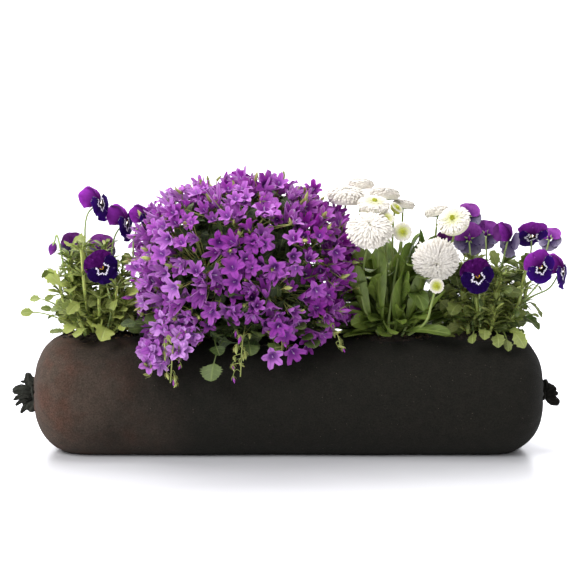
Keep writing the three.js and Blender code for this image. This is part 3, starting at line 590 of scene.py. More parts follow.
class Shader:
    """A material of nodes round one shader."""

    def __init__(self, name, **constants):
        """The constants are set on the shader's own sockets."""
        self.material = bpy.data.materials.new(name)
        self.material.use_nodes = True
        self.tree = self.material.node_tree
        self.tree.nodes.clear()
        own = {key.replace("_", " "): value for key, value in constants.items()}
        self.surface = self.add("BsdfPrincipled", own).node
        self.add("OutputMaterial", [self.surface.outputs[0]])

    def add(self, kind, inputs=(), output=0, **settings):
        """Adds a node with its settings, and gives one of its outputs. Inputs are listed in order, or
        named by socket. Each is a value, or an output of another node to link."""
        node = self.tree.nodes.new("ShaderNode" + kind)
        for key, value in settings.items():
            setattr(node, key, value)
        for socket, value in inputs.items() if isinstance(inputs, dict) else enumerate(inputs):
            if isinstance(value, bpy.types.NodeSocket):
                self.tree.links.new(value, node.inputs[socket])
            else:
                node.inputs[socket].default_value = value
        return node.outputs[output] if len(node.outputs) else node

    def finished(self, shade, height=None, strength=1.0, distance=0.0):
        """The material, once its colour and its relief, a distance high in metres, are linked."""
        self.tree.links.new(shade, self.surface.inputs["Base Color"])
        if height is not None:
            relief = self.add("Bump", {"Height": height, "Strength": strength, "Distance": distance})
            self.tree.links.new(relief, self.surface.inputs["Normal"])
        return self.material


MIXED = {"output": 2, "data_type": "RGBA"}  # a Mix node for colours: sockets 0 factor, 6 from, 7 to


def textile(name, sleeve, knot=None):
    """Felted recycled textile: short matted fibres of many dull colours, matte, with pale lint on it.
    The left end is lighter and browner: the cloth's own browner tone with rusty patches, painted lighter
    where the key light falls, as painted light. Fibres are 0.15 mm and show as clumps 1.6 mm apart."""
    felt = Shader(name, Roughness=0.93, Specular_IOR_Level=0.12, Sheen_Weight=0.02, Sheen_Roughness=0.6)
    add = felt.add
    place = add("TexCoord", output="Object")
    blotch, patch, spot, fibre = (
        add("TexNoise", {"Vector": place, "Scale": per_metre(size), "Detail": detail, "Roughness": rough})
        for size, detail, rough in ((90, 3.0, 0.5), (34, 4.0, 0.5), (9, 4.0, 0.5), (1.6, 4.0, 0.7)))
    lint = add("TexVoronoi", {"Vector": place, "Scale": per_metre(5)})
    # painted light: along x, the left end gets the cloth's own browner tone with rusty patches, painted
    # lighter where the key light falls
    along = add("Math", [add("SeparateXYZ", [place]), 0.08], operation="SUBTRACT")
    along = add("Math", [blotch, 0.16, along], operation="MULTIPLY_ADD")
    lighter = add("MapRange", [along, -0.29, -0.09, 1.0, 0.0], interpolation_type="SMOOTHSTEP")
    rusty = add("MapRange", [patch, 0.5, 0.68, 0.0, 0.7])
    brown = add("Mix", {0: rusty, 6: sleeve.brown, 7: sleeve.rust}, **MIXED)
    # A knot takes its one tone; the left knot's lighter grey is painted light and painted reflection on its
    # folds.
    cloth = knot or add("Mix", {0: lighter, 6: sleeve.dark, 7: brown}, **MIXED)
    spotted = add("MapRange", [spot, 0.3, 0.7, 0.0, 1.0])
    tinge = add("Mix", {0: spotted, 6: (0.86, 0.9, 0.88, 1), 7: (1.14, 1.1, 1.1, 1)}, **MIXED)
    cloth = add("Mix", {0: 1.0, 6: cloth, 7: tinge}, blend_type="MULTIPLY", **MIXED)
    clumps = add("MapRange", [fibre, 0.3, 0.7, 0.6, 1.42])
    mottled = add("Mix", {0: 1.0, 6: cloth, 7: clumps}, blend_type="MULTIPLY", **MIXED)
    caught = add("Math", [fibre, 0.5], operation="GREATER_THAN")
    speck = add("Math", [add("MapRange", [lint, 0.04, 0.07, 0.4, 0.0]), caught], operation="MULTIPLY")
    shade = add("Mix", {0: speck, 6: mottled, 7: colour("#8c8070")}, **MIXED)
    return felt.finished(shade, fibre, 0.7, 0.0006)


def potting_soil(settings):
    """Damp potting soil: dark peat crumbs with a few pale bits of bark and lime, no gloss."""
    soil = Shader("potting soil", Roughness=0.95)
    add = soil.add
    place = add("TexCoord", output="Object")
    crumb = add("TexNoise", {"Vector": place, "Scale": per_metre(3), "Detail": 5.0, "Roughness": 0.7})
    bits = add("TexVoronoi", {"Vector": place, "Scale": per_metre(5)}, 1)
    bark = add("Math", [add("SeparateColor", [bits]), 0.93], operation="GREATER_THAN")
    pale = add("Math", [bark, 0.5], operation="MULTIPLY")
    dirt = add("Mix", {0: crumb, 6: colour("#140d08"), 7: settings.soil}, **MIXED)
    return soil.finished(add("Mix", {0: pale, 6: dirt, 7: colour("#8a6a48")}, **MIXED), crumb, 0.9, 0.0012)


def leaf_skin(name, light, dark, vein, pairs, gloss):
    """Living leaf: a waxy skin over green flesh, paler ribs, side ribs that run forward to the edge,
    and older and younger leaves; a low tint paints the leaves inside the bellflower mound and in the
    right viola clump darker, as painted shade. UV u runs across from edge to edge and v from base to tip."""
    leaf = Shader(name, Roughness=gloss, Specular_IOR_Level=0.35, Subsurface_Weight=0.12,
                  Subsurface_Scale=0.002, Subsurface_Radius=(0.6, 1.0, 0.2))
    add = leaf.add
    u, v = add("SeparateXYZ", [add("UVMap", uv_map="surface")]).node.outputs[:2]
    off = add("Math", [add("Math", [u, 0.5], operation="SUBTRACT")], operation="ABSOLUTE")
    forward = add("Math", [v, add("Math", [off, 0.45], operation="MULTIPLY")], operation="SUBTRACT")
    wave = add("Math", [add("Math", [forward, TURN * pairs], operation="MULTIPLY")], operation="SINE")
    midrib = add("MapRange", [off, 0.02, 0.07, 1.0, 0.0])
    ribs = add("Math", [midrib, add("MapRange", [wave, 0.86, 1.0, 0.0, 0.55])], operation="MAXIMUM")
    place = add("TexCoord", output="Object")
    cells = add("TexNoise", {"Vector": place, "Scale": per_metre(6), "Detail": 4.0})
    tint_level = add("Math", [add("Attribute", output="Fac", attribute_name="tint"), 0.35], operation="SUBTRACT")
    lit = add("Math", [cells, 0.7, tint_level], operation="MULTIPLY_ADD", use_clamp=True)
    flesh = add("Mix", {0: lit, 6: dark, 7: light}, **MIXED)
    pucker = add("Math", [add("Math", [cells, 0.6], operation="MULTIPLY"), ribs], operation="SUBTRACT")
    paler = add("Math", [ribs, 0.38], operation="MULTIPLY")
    return leaf.finished(add("Mix", {0: paler, 6: flesh, 7: vein}, **MIXED), pucker, 0.5, 0.0005)


def stem_skin(name, light, dark):
    """Juicy stem: pale green, a little translucent, streaked along its length and darker here and there."""
    stem = Shader(name, Roughness=0.5, Specular_IOR_Level=0.4, Subsurface_Weight=0.15, Subsurface_Scale=0.002)
    add = stem.add
    drawn_out = add("Mapping", {"Vector": add("TexCoord", output="Object"), "Scale": (1.0, 1.0, 0.15)})
    streak = add("TexNoise", {"Vector": drawn_out, "Scale": per_metre(2.5), "Detail": 3.0})
    tint_level = add("Math", [add("Attribute", output="Fac", attribute_name="tint"), 0.3], operation="SUBTRACT")
    lit = add("Math", [streak, 0.6, tint_level], operation="MULTIPLY_ADD", use_clamp=True)
    return stem.finished(add("Mix", {0: lit, 6: dark, 7: light}, **MIXED))


def petal_skin(petal, shade, strength):
    """Finishes a petal with the fine lines of cells that run along it."""
    uv = petal.add("UVMap", uv_map="surface")
    lines = petal.add("TexWave", {"Vector": uv, "Scale": 4.0, "Distortion": 1.5, "Detail": 2.0}, 1)
    return petal.finished(shade, lines, strength, 0.0003)


def bell_petal(name, face, throat, back):
    """Bellflower petal: thin, velvety and slightly shiny; a darker line along the middle of each lobe,
    deep violet towards the throat. UV u is the distance from a lobe's middle line and v the way out."""
    petal = Shader(name, Roughness=0.55, Specular_IOR_Level=0.25, Sheen_Weight=0.15, Subsurface_Weight=0.2,
                   Subsurface_Scale=0.003, Subsurface_Radius=(1.0, 0.4, 1.0))
    add = petal.add
    u, v = add("SeparateXYZ", [add("UVMap", uv_map="surface")]).node.outputs[:2]
    tint_level = add("Attribute", output="Fac", attribute_name="tint")
    # The tint sets hue, saturation and value: a random spread between bells, with painted shade that makes
    # the bells towards the right end darker and bluer, and painted light that makes those on hanging trails
    # paler.
    ways_with_tint = {"Hue": (-0.008, 0.504), "Saturation": (-0.22, 1.12), "Value": (0.55, 0.72)}
    varied = {key: add("Math", [tint_level, *line], operation="MULTIPLY_ADD") for key, line in ways_with_tint.items()}
    shade = add("HueSaturation", {**varied, "Color": face})
    if not back:
        middle_line = add("MapRange", [u, 0.03, 0.2, 0.35, 0.0])
        shade = add("Mix", {0: middle_line, 6: shade, 7: throat}, **MIXED)
    deep = add("MapRange", [v, 0.1, 0.5, 0.4 if back else 0.6, 0.0])
    return petal_skin(petal, add("Mix", {0: deep, 6: shade, 7: throat}, **MIXED), 0.35)


def viola_petal(name, main, edge, marked=False):
    """Viola petal: velvet that drinks light at its deepest violet. The lower petals carry a black
    mask with a ragged white rim and a yellow eye. UV is the place in the face, 0.5 in the middle."""
    petal = Shader(name, Roughness=0.75, Specular_IOR_Level=0.03, Sheen_Weight=0.02, Sheen_Roughness=0.35,
                   Sheen_Tint=colour("#b050d0"))
    add = petal.add
    uv = add("UVMap", uv_map="surface")
    # The tint mottles the petal and turns the mask; a low tint, painted shade on the flowers at the very
    # front, keeps the petal at its main, darkest colour.
    tint_level = add("Attribute", output="Fac", attribute_name="tint")
    middle = add("VectorMath", [uv, (0.5, 0.47, 0.0)], operation="SUBTRACT")
    away = add("VectorMath", [middle], 1, operation="LENGTH")
    flecks = add("TexNoise", {"Vector": uv, "Scale": 9.0, "Detail": 4.0})
    mottle = add("Math", [flecks, add("Math", [tint_level, 0.5], operation="SUBTRACT")], operation="ADD")
    rimward = add("MapRange", [away, 0.12, 0.5, 0.0, 1.0])
    rimward = add("Math", [rimward, mottle], operation="MULTIPLY", use_clamp=True)
    shade = add("Mix", {0: rimward, 6: main, 7: edge}, **MIXED)
    if marked:
        x, y = add("SeparateXYZ", [middle]).node.outputs[:2]
        turn = add("Math", [y, x], operation="ARCTAN2")
        points = add("Math", [add("Math", [turn, 5.0, tint_level], operation="MULTIPLY_ADD")], operation="SINE")
        teeth = add("Math", [add("Math", [turn, 19.0], operation="MULTIPLY")], operation="SINE")
        ragged = add("Math", [points, 0.022], operation="MULTIPLY")
        ragged = add("Math", [teeth, 0.014, ragged], operation="MULTIPLY_ADD")
        ragged = add("Math", [ragged, 0.045], operation="SUBTRACT")
        ragged = add("Math", [flecks, 0.09, ragged], operation="MULTIPLY_ADD")
        rim = add("Math", [away, ragged], operation="ADD")
        eye = add("VectorMath", [uv, (0.5, 0.51, 0.0)], 1, operation="DISTANCE")
        for distance, full, gone, paint in (
            (rim, 0.175, 0.19, "#e9e2f2"), (rim, 0.135, 0.15, "#0d0710"), (eye, 0.05, 0.065, "#e8a636"),
        ):
            mark = add("MapRange", [distance, full, gone, 1.0, 0.0])
            shade = add("Mix", {0: mark, 6: shade, 7: colour(paint)}, **MIXED)
    return petal_skin(petal, shade, 0.2)


def daisy_ray(name, white, young):
    """Daisy ray floret: waxy white strap, greenish-yellow while the head is opening. The tint says how
    far it has opened, and v runs from its foot to its tip. Towards its foot the ray is painted darker,
    painted shade from the rays that lie over it."""
    ray = Shader(name, Roughness=0.6, Specular_IOR_Level=0.3, Subsurface_Weight=0.15,
                 Subsurface_Scale=0.002, Subsurface_Radius=(0.8, 0.8, 0.7))
    add = ray.add
    opened = add("MapRange", [add("Attribute", output="Fac", attribute_name="tint"), 0.25, 0.8, 0.0, 1.0])
    shade = add("Mix", {0: opened, 6: young, 7: white}, **MIXED)
    v = add("SeparateXYZ", [add("UVMap", uv_map="surface")], 1)
    # painted shade: each ray is darker towards its foot, where the rays over it shade it
    foot_shade = add("MapRange", [v, 0.5, 0.85, 0.78, 1.0])
    shade = add("Mix", {0: 1.0, 6: shade, 7: foot_shade}, blend_type="MULTIPLY", **MIXED)
    return petal_skin(ray, shade, 0.25)


def plain_part(name, tint, roughness):
    """Small part of one colour, such as a style or a tuft of florets, mottled by a fine noise."""
    part = Shader(name, Roughness=roughness)
    dark = (*(0.55 * c for c in tint[:3]), 1.0)
    place = part.add("TexCoord", output="Object")
    mottle = part.add("TexNoise", {"Vector": place, "Scale": per_metre(1.5), "Detail": 3.0})
    return part.finished(part.add("Mix", {0: mottle, 6: dark, 7: tint}, **MIXED))


# ---------------------------------------------------------------- sleeve, knots and soil


def end_scale(x, upness):
    """Share of the full section that is left at x: (1 - into^p)^(1/p), where into is the way into the
    rounded end, which is longer at the bottom than at the top."""
    cap = SLEEVE["bottom_cap"] + (SLEEVE["top_cap"] - SLEEVE["bottom_cap"]) * upness
    into = np.clip((np.abs(x) - (SLEEVE["half_length"] - cap)) / cap, 0, 1)
    return (1 - into ** SLEEVE["cap_power"]) ** (1 / SLEEVE["cap_power"])


def power(value, exponent):
    """Power that keeps the sign."""
    return np.sign(value) * np.abs(value) ** exponent


def sleeve_top(x, y):
    """Height of the sleeve's upper side: its section is |y/b|^p + |z/c|^p = 1, flat-sided and blunt."""
    scale = end_scale(x, 0.9)
    across_share = np.clip(np.abs(y) / np.maximum(SLEEVE["half_depth"] * scale, 1e-6), 0, 1)
    rise = (1 - across_share ** SLEEVE["section_power"]) ** (1 / SLEEVE["section_power"])
    return SLEEVE["centre_height"] + SLEEVE["half_height"] * scale * rise


def sleeve_mesh(pleat, around=112, cap_rows=30, body_rows=104):
    """The tube: blunt ellipse sections along x, scaled down in the rounded ends, with gathers that run
    to the knots, slack bulges, a pressed flat under it, and an oval opening for each plant."""
    angle = np.linspace(0, math.pi / 2, cap_rows)
    cap = SLEEVE["half_length"] - SLEEVE["bottom_cap"] * (1 - np.cos(angle))
    x = np.concatenate([-cap, np.linspace(-cap[-1], cap[-1], body_rows)[1:-1], cap[::-1]])[:, None]
    turn = steps_round(around)
    up, out = np.sin(turn)[None], np.cos(turn)[None]
    scale = end_scale(x, (1 + up) / 2)
    exponent = 2 / SLEEVE["section_power"]
    y = SLEEVE["half_depth"] * scale * power(out, exponent)
    z = SLEEVE["half_height"] * scale * power(up, exponent)
    radius = np.hypot(y, z)
    gather = np.exp(-radius / GATHERS["fade"]) * (scale < 0.999) * np.minimum(1, radius / GATHERS["middle"])
    (main, high, _), *others = GATHERS["series"]
    folds = high * np.sin(main * turn + np.sign(x))
    for ridges, high, phase in others:
        folds = folds + high * np.sin(ridges * turn + phase)
    grid = np.stack(np.broadcast_arrays(x, y, z), axis=-1)
    bulge = sum(high * lumps(grid, size) for high, size in BULGES)
    push = (pleat * gather * folds + bulge * np.minimum(1, radius / 40))[..., None]
    grid = grid + push * np.stack([0 * y, y, z], axis=-1) / np.maximum(radius, 1e-6)[..., None]
    grid[..., 0] += np.sign(x) * GATHERS["outwards"] * gather * folds
    grid[..., 2] = np.maximum(grid[..., 2] + SLEEVE["centre_height"], 0)
    points = grid.reshape(-1, 3)
    quads = quads_between(len(grid), around).reshape(-1, 4)
    for opening in OPENINGS.values():
        quads = cut_opening(points, quads, opening)
    mesh = bpy.data.meshes.new("fabric_sleeve")
    mesh.from_pydata(points * MM, [], quads)
    work = bmesh.new()
    work.from_mesh(mesh)
    bmesh.ops.remove_doubles(work, verts=work.verts, dist=MERGE)
    bmesh.ops.delete(work, geom=[v for v in work.verts if not v.link_faces], context="VERTS")
    bmesh.ops.recalc_face_normals(work, faces=work.faces)
    work.to_mesh(mesh)
    work.free()
    mesh.shade_smooth()
    return mesh


def cut_opening(points, quads, opening):
    """Drops the quads inside an oval opening in the top, and pulls the edge that is left on to it."""
    share = np.hypot((points[:, 0] - opening["x"]) / opening["half_x"], points[:, 1] / opening["half_y"])
    above = points[:, 2] > SLEEVE["centre_height"]
    middle = share[quads].mean(axis=1)
    gone = (middle < 1) & above[quads].all(axis=1)
    edge = np.intersect1d(quads[gone], quads[~gone])
    pull = 1 / share[edge]
    points[edge, 0] = opening["x"] + (points[edge, 0] - opening["x"]) * pull
    points[edge, 1] *= pull
    points[edge, 2] = sleeve_top(points[edge, 0], points[edge, 1]) + 0.8
    return quads[~gone]


def knot_mesh(knot):
    """Gathered cloth: a pleated neck and a tight collar round it, a crumpled body, and tails. A tail is
    a pleated blade that widens from the neck, narrows to its end and folds along its middle."""
    skin = Skin()
    turn = steps_round(72)
    side, phase, end = knot["side"], knot["phase"], SLEEVE["half_length"]
    for along, profile, deep, ridges, uneven in KNOT_ROUNDS:
        along = np.array(along)[:, None]
        crease = 1 - uneven * np.abs(np.sin(0.5 * ridges * turn + along * 0.16 + phase)) ** 0.6
        lobed = 1 + 0.12 * np.sin(2 * turn + phase) + 0.1 * np.sin(3 * turn + 2 * phase)
        radius = knot["girth"] * np.array(profile)[:, None] * crease * lobed
        x = end + along + 0.08 * radius * np.sin(2 * turn + phase)
        grid = np.stack([side * x, deep * radius * np.cos(turn), KNOT_HEIGHT + radius * np.sin(turn)], -1)
        skin.add(grid[None], np.zeros(2))
    start, bend, tip, width = (np.array(part, float) for part in zip(*knot["tails"]))
    t = np.linspace(0, 1, 24)
    tapered = np.sin(0.5 * math.pi * np.clip(t * 2, 0, 1)) * (1 - np.clip(t - 0.5, 0, 1) ** 1.5 * 2.3)
    half = np.maximum(0.5 * width[:, None] * (0.3 + 0.7 * tapered), 0.9)
    rib = bow(start, bend, tip, t) * [side, 1, 1] + [side * end, 0, KNOT_HEIGHT]
    grid, uv = blades(rib, half, 1.9, lean=(0.25, 1, 0.1), fold=-0.5, cup=0.75, columns=17, pleats=0.8)
    grid[..., 1] += 0.9 * lumps(grid, 9)
    grid[..., 0] += 0.5 * lumps(grid[..., [2, 0, 1]], 6)
    skin.add(grid, uv)
    return skin.mesh("knot", 60)


def ball_grid(opening, phase):
    """Root ball: up its tapered side under the cloth, then over a crumbly dome in the opening."""
    turn = steps_round(72)
    bottom = CREST - opening["depth"]
    cover = np.concatenate([[0, 0.5], np.ones(7), [0.96], np.arange(9, -1, -1) / 10])[:, None]
    level = np.concatenate([[0, 0, 0], np.linspace(0.1, 0.9, 5), np.ones(12)])[:, None]
    reach = cover * (opening["taper"] + (1 - opening["taper"]) * level)
    x = opening["x"] + (opening["half_x"] + ROOT_BALL["beyond"]) * reach * np.cos(turn)
    y = (opening["half_y"] + ROOT_BALL["beyond"]) * reach * np.sin(turn)
    top = sleeve_top(x, y)
    points = np.stack([x, y, 0 * x + phase], -1), np.stack([y, x, 0 * x], -1)
    crumbly = sum(high * lumps(at, size) for at, (high, size) in zip(points, ROOT_BALL["lumps"]))
    dome = top + ROOT_BALL["dome"] * (1 - cover**2) + crumbly * (cover < 0.95)
    side = bottom + (top - ROOT_BALL["under"] - bottom) * level
    z = np.where((level >= 1) & (cover < 0.97), dome, side)
    for pole in (0, -1):
        z[pole] = z[pole].mean()
    return np.stack([x, y, z], axis=-1)[None]


def soil_mesh(name, opening, rng):
    """A root ball, with loose crumbs on and around it: each crumb is a rough ball with uneven radius."""
    skin = Skin()
    skin.add(ball_grid(opening, rng.uniform(0, 50)), np.zeros(2))
    count = CRUMBS["count"]
    share = np.sqrt(rng.uniform(0.1, 1.45, count))
    turn = rng.uniform(0, TURN, count)
    x = opening["x"] + opening["half_x"] * share * np.cos(turn)
    y = opening["half_y"] * share * np.sin(turn)
    size = rng.uniform(*CRUMBS["size"], count) * np.where(share > 1.02, 0.7, 1)
    z = sleeve_top(x, y) + size * 0.5 + np.where(share < 1, 2.8 * (1 - share**2), 0)
    height = np.linspace(-1, 1, 6)[:, None, None]
    ball = np.sqrt(1 - height**2) * ways(steps_round(7)) + height * UP
    rough = 1 + 0.35 * rng.uniform(-1, 1, (count, 6, 7, 1))
    rough[:, [0, -1]] = 1
    crumbs = ball * rough * size[:, None, None, None] * CRUMBS["flatness"]
    skin.add(crumbs + np.stack([x, y, z], -1)[:, None, None], np.zeros(2), rng.uniform(0, 1, count))
    return skin.mesh(name, 40)


# ---------------------------------------------------------------- leaves


def leaf_rows(count):
    """Steps along a leaf, closer together towards its tip."""
    return 1 - (1 - np.linspace(0, 1, count)) ** 1.25


VIOLA_LEAF = {"blade": 1.9, "widest": 0.5, "blunt": 1.1, "teeth": 4, "bite": 0.15}
BELLFLOWER_LEAF = {"blade": 1.05, "widest": 0.42, "blunt": 1.0, "teeth": 8, "bite": 0.14}
SMALL_LEAF = {"blade": 1.4, "widest": 0.45, "blunt": 1.1, "teeth": 3, "bite": 0.2}
DAISY_LEAF = {"blade": 9, "widest": 0.74, "blunt": 0.9, "teeth": 7, "bite": 0.025}
STIPULE = {"blade": 9, "widest": 0.6, "blunt": 1.6, "teeth": 0, "bite": 0}


def leaf_outline(t, stalk, shape):
    """Half width of a leaf as a share of its greatest: a thin stalk, then a blade that swells as a
    sine to its widest place and ends in an ellipse of given bluntness, with rounded teeth."""
    q = np.clip((t - stalk) / (1 - stalk), 0, 1)
    widest = shape["widest"]
    before = np.sin(0.5 * math.pi * np.clip(q / widest, 0, 1)) ** 1.1
    after = np.clip(1 - ((q - widest) / (1 - widest)) ** 2, 0, 1) ** (0.5 * shape["blunt"])
    teeth = 1 + shape["bite"] * np.sin(2 * math.pi * shape["teeth"] * q) * (q > 0.05)
    return np.where(q < widest, before, after) * teeth


def leaves(skin, table, shape, rng, thickness=0.5, fold=0.12, cup=0.1, ripple=0.05, stalk_width=0.7,
           twist=0.25, columns=7, rows=15, lean=(0, 0, 1), ages_and_shade=(0.1, 0.95)):
    """Adds one leaf for each [base, bend, tip, width] row to a skin. Its blade is so many times as
    long as it is wide, and the rest of its length is stalk. Its upper side turns to the lean."""
    base, bend, tip = (np.array([row[i] for row in table], float) for i in range(3))
    width = np.array([row[3] for row in table], float)
    long = np.linalg.norm(bend - base, axis=1) + np.linalg.norm(tip - bend, axis=1)
    stalk = np.clip(1 - shape["blade"] * width / long, 0.08, 0.85)[:, None]
    t = leaf_rows(rows)
    half = np.maximum(0.5 * width[:, None] * leaf_outline(t, stalk, shape), stalk_width)
    grid, uv = blades(bow(base, bend, tip, t), half, thickness, lean, rng.normal(0, twist, len(table)),
                      fold=fold, cup=cup, ripple=ripple, columns=columns)
    uv = np.repeat(uv[None], len(table), axis=0)
    uv[..., 1] = np.clip((t - stalk) / (1 - stalk), 0, 1)[..., None]
    # The tints spread over the given range: older and younger leaves, and a low range paints leaves darker as
    # painted shade.
    skin.add(grid, uv, rng.uniform(*ages_and_shade, len(table)))


def turned_out(rows, centre):
    """Ways for the upper sides of leaves to look: up, away from the crown and to the front."""
    away = (np.array([row[2] for row in rows], float) - centre) * [1, 1, 0]
    return unit(away) * 0.4 + np.array([0, -0.5, 0.55])


def rosette(rng, centre, count, reach, rise, width, start, oval):
    """Rows for leaves that spread from a crown in all directions: each leaves the crown, climbs, and
    bows outwards and down. They reach further along the sleeve where the rosette is oval."""
    turn = np.arange(count) * GOLDEN_ANGLE + rng.uniform(0, 0.6, count)
    out = ways(turn) * [oval, 1, 1] * rng.uniform(*reach, count)[:, None]
    climb = rng.uniform(*rise, count)[:, None] * UP
    base = np.array(centre) + out * rng.uniform(*start, count)[:, None] * 0.35
    tip = base + out + climb * rng.uniform(0.4, 1.05, count)[:, None]
    return list(zip(base, base + out * 0.45 + climb, tip, rng.uniform(*width, count)))


def stems(skin, paths, diameter, finish, rng, steps=14, sides=8):
    """Round stems through the points of each path, a little thicker at the foot."""
    t = doubled_ends(np.linspace(0, 1, steps))
    grid, uv = tubes(through(paths, t), 0.5 * diameter * (0.85 + 0.35 * t), sides)
    skin.add(grid, uv, rng.uniform(0.4, 0.9, len(grid)), finish)


def leafy_stems(rng, centre, count, tallest):
    """Paths of stems that lean out of a crown in all directions and then turn up."""
    turn = np.arange(count) * GOLDEN_ANGLE + rng.uniform(0, 0.8, count)
    out = ways(turn) * [1, 0.75, 1]
    reach = rng.uniform(8, 44, count)[:, None]
    height = rng.uniform(18, tallest, count)[:, None] * UP
    foot = np.array(centre) + out * np.minimum(reach * 0.4, 14)
    middle, top = foot + out * reach * 0.55 + 0.4 * height, foot + out * reach * 0.8 + height
    return np.stack([foot, middle, top], axis=1)


def shoots(rng, nodes, centre, size, width):
    """Rows for leaves that leave stems at nodes, mostly outwards from the crown's middle."""
    n = len(nodes)
    away = (nodes - centre) * [1, 1, 0]
    out = unit(unit(away) + rng.normal(0, 0.9, (n, 3)) * [1, 1, 0.2]) * rng.uniform(*size, n)[:, None]
    up = UP * rng.uniform(2, 9, n)[:, None]
    drop = UP * rng.uniform(-8, 9, n)[:, None]
    return list(zip(nodes, nodes + 0.5 * out + up, nodes + out + drop, rng.uniform(*width, n)))


def off_faces(rows):
    """Rows of leaves that don't hang in front of a viola's face that looks to the front."""
    faces = [(*flower[0], flower[3]) for flower in VIOLAS_LEFT + VIOLAS_RIGHT if flower[1][1] < -0.45]
    x, y, z, radius = np.array(faces, float).T
    ends = np.array([[row[1], row[2]] for row in rows], float)[..., None]
    near = np.hypot(ends[:, :, 0] - x, ends[:, :, 2] - z) < radius + 4
    bad = (near & (ends[:, :, 1] < y + 6)).any(axis=(1, 2))
    return [row for row, hidden in zip(rows, bad) if not hidden]


def stipules(skin, nodes, rng, count=9, size=(7, 18)):
    """Feathery tufts where a leaf meets a stem: narrow leaflets that fan out and upwards."""
    centre = np.repeat(np.asarray(nodes, float), count, axis=0)
    n = len(centre)
    turn = rng.uniform(0, TURN, n)
    out = ways(turn) * rng.uniform(*size, n)[:, None]
    up = UP * rng.uniform(1, 10, n)[:, None]
    table = list(zip(centre, centre + 0.5 * out + up, centre + out + up * 1.1, rng.uniform(1.8, 3.4, n)))
    leaves(skin, table, STIPULE, rng, thickness=0.4, fold=0.2, ripple=0, stalk_width=0.35, twist=0.5,
           columns=3, rows=7)


# ---------------------------------------------------------------- violas


# Petals of one viola, in its own face: the way each points in degrees from the right, its length and
# half width as shares of the flower's radius, its layer from back to front, and how it curves back.
VIOLA_PETALS = [
    {"points": 124, "length": 1.05, "half": 0.60, "layer": -1.3, "back": 0.28, "lower": False},
    {"points": 54, "length": 1.05, "half": 0.60, "layer": -0.9, "back": 0.22, "lower": False},
    {"points": 190, "length": 0.98, "half": 0.50, "layer": -0.2, "back": 0.05, "lower": True},
    {"points": -10, "length": 0.98, "half": 0.50, "layer": 0.1, "back": 0.05, "lower": True},
    {"points": 268, "length": 1.0, "half": 0.66, "layer": 0.7, "back": -0.02, "lower": True},
]
UPPER_FACE, LOWER_FACE, UPPER_BACK, LOWER_BACK, GREEN = range(5)
BUD_RADIUS = 8  # a smaller flower is a bud


def petal_width(t):
    """Half width of a petal: a narrow claw that widens fast, then most of an ellipse round the tip."""
    widest = 0.58
    claw = 0.16 + 0.84 * np.sin(0.5 * math.pi * np.clip(t / widest, 0, 1))
    return claw * np.sqrt(np.clip(1 - (np.clip(t - widest, 0, 1) / (1 - widest)) ** 2.2, 0, 1))


def viola_flower(skin, centre, facing, roll, radius, folded, rng):
    """Five overlapping petals, two up and three down, each a blade that curves back from the face,
    then five sepals and a spur behind them. On an older flower the upper two fold back over the
    stalk like a tent. Flowers at the very front are painted dark, painted shade on their faces."""
    axes = turned([facing], math.radians(roll))
    columns = 9
    s, _ = across(columns)
    t = np.sin(0.5 * math.pi * np.linspace(0, 1, 14))
    # painted shade: flowers at the very front get a low tint, which keeps their petals at their darkest, for
    # the shade on their faces; the others' tints spread at random
    tint = 0.1 if centre[1] < -40 else rng.uniform(0.5, 1)
    for petal in VIOLA_PETALS:
        angle = math.radians(petal["points"] + rng.normal(0, 4))
        out = ways(angle)
        reach = petal["length"] * radius * (0.06 + 0.94 * t)
        bend = petal["back"]
        rib = out * (reach * np.cos(bend * 0.7 * t))[:, None]
        rib[:, 2] = 0.5 * petal["layer"] - bend * radius * t**2
        cup, lean = -0.14 - 0.22 * bend, out + UP
        colours = (LOWER_FACE, LOWER_BACK) if petal["lower"] else (UPPER_FACE, UPPER_BACK)
        if folded and not petal["lower"]:
            rib = out * (0.62 * radius * np.sin(0.5 * math.pi * t))[:, None]
            rib[:, 2] = -1.0 * radius * t**1.4
            cup, lean = -0.32, np.array([math.copysign(0.9, out[0]), 0.5, 0.25])
        half = petal["half"] * radius * petal_width(t) * (1 + 0.03 * np.sin(17 * t + angle))
        grid, _ = blades(rib[None], half[None], 0.55, lean, cup=cup, ripple=0.11, columns=columns)
        face = out[:2] * reach[:, None, None] + [out[1], -out[0]] * (half[:, None] * s)[..., None]
        face[0] = out[:2] * reach[0]
        skin.add(placed(grid, [centre], axes), 0.5 + 0.5 * face / radius, tint, over_under(columns, *colours))
    centre = np.array(centre, float)
    calyx(skin, centre[None], axes, 0.34 * radius, 0.85, GREEN, rng, -3.2, -3)
    _, up, front = axes[0]
    foot = centre - front * 1.5
    spur = [foot, foot - front * 0.3 * radius, foot - front * 0.45 * radius + up * 0.18 * radius]
    thick = 0.13 * radius * np.array([0, 1.0, 0.9, 0.75, 0.65, 0.6, 0])
    skin.add(*tubes(through([spur], np.linspace(0, 1, 7)), thick, 7), 0.5, UPPER_BACK)


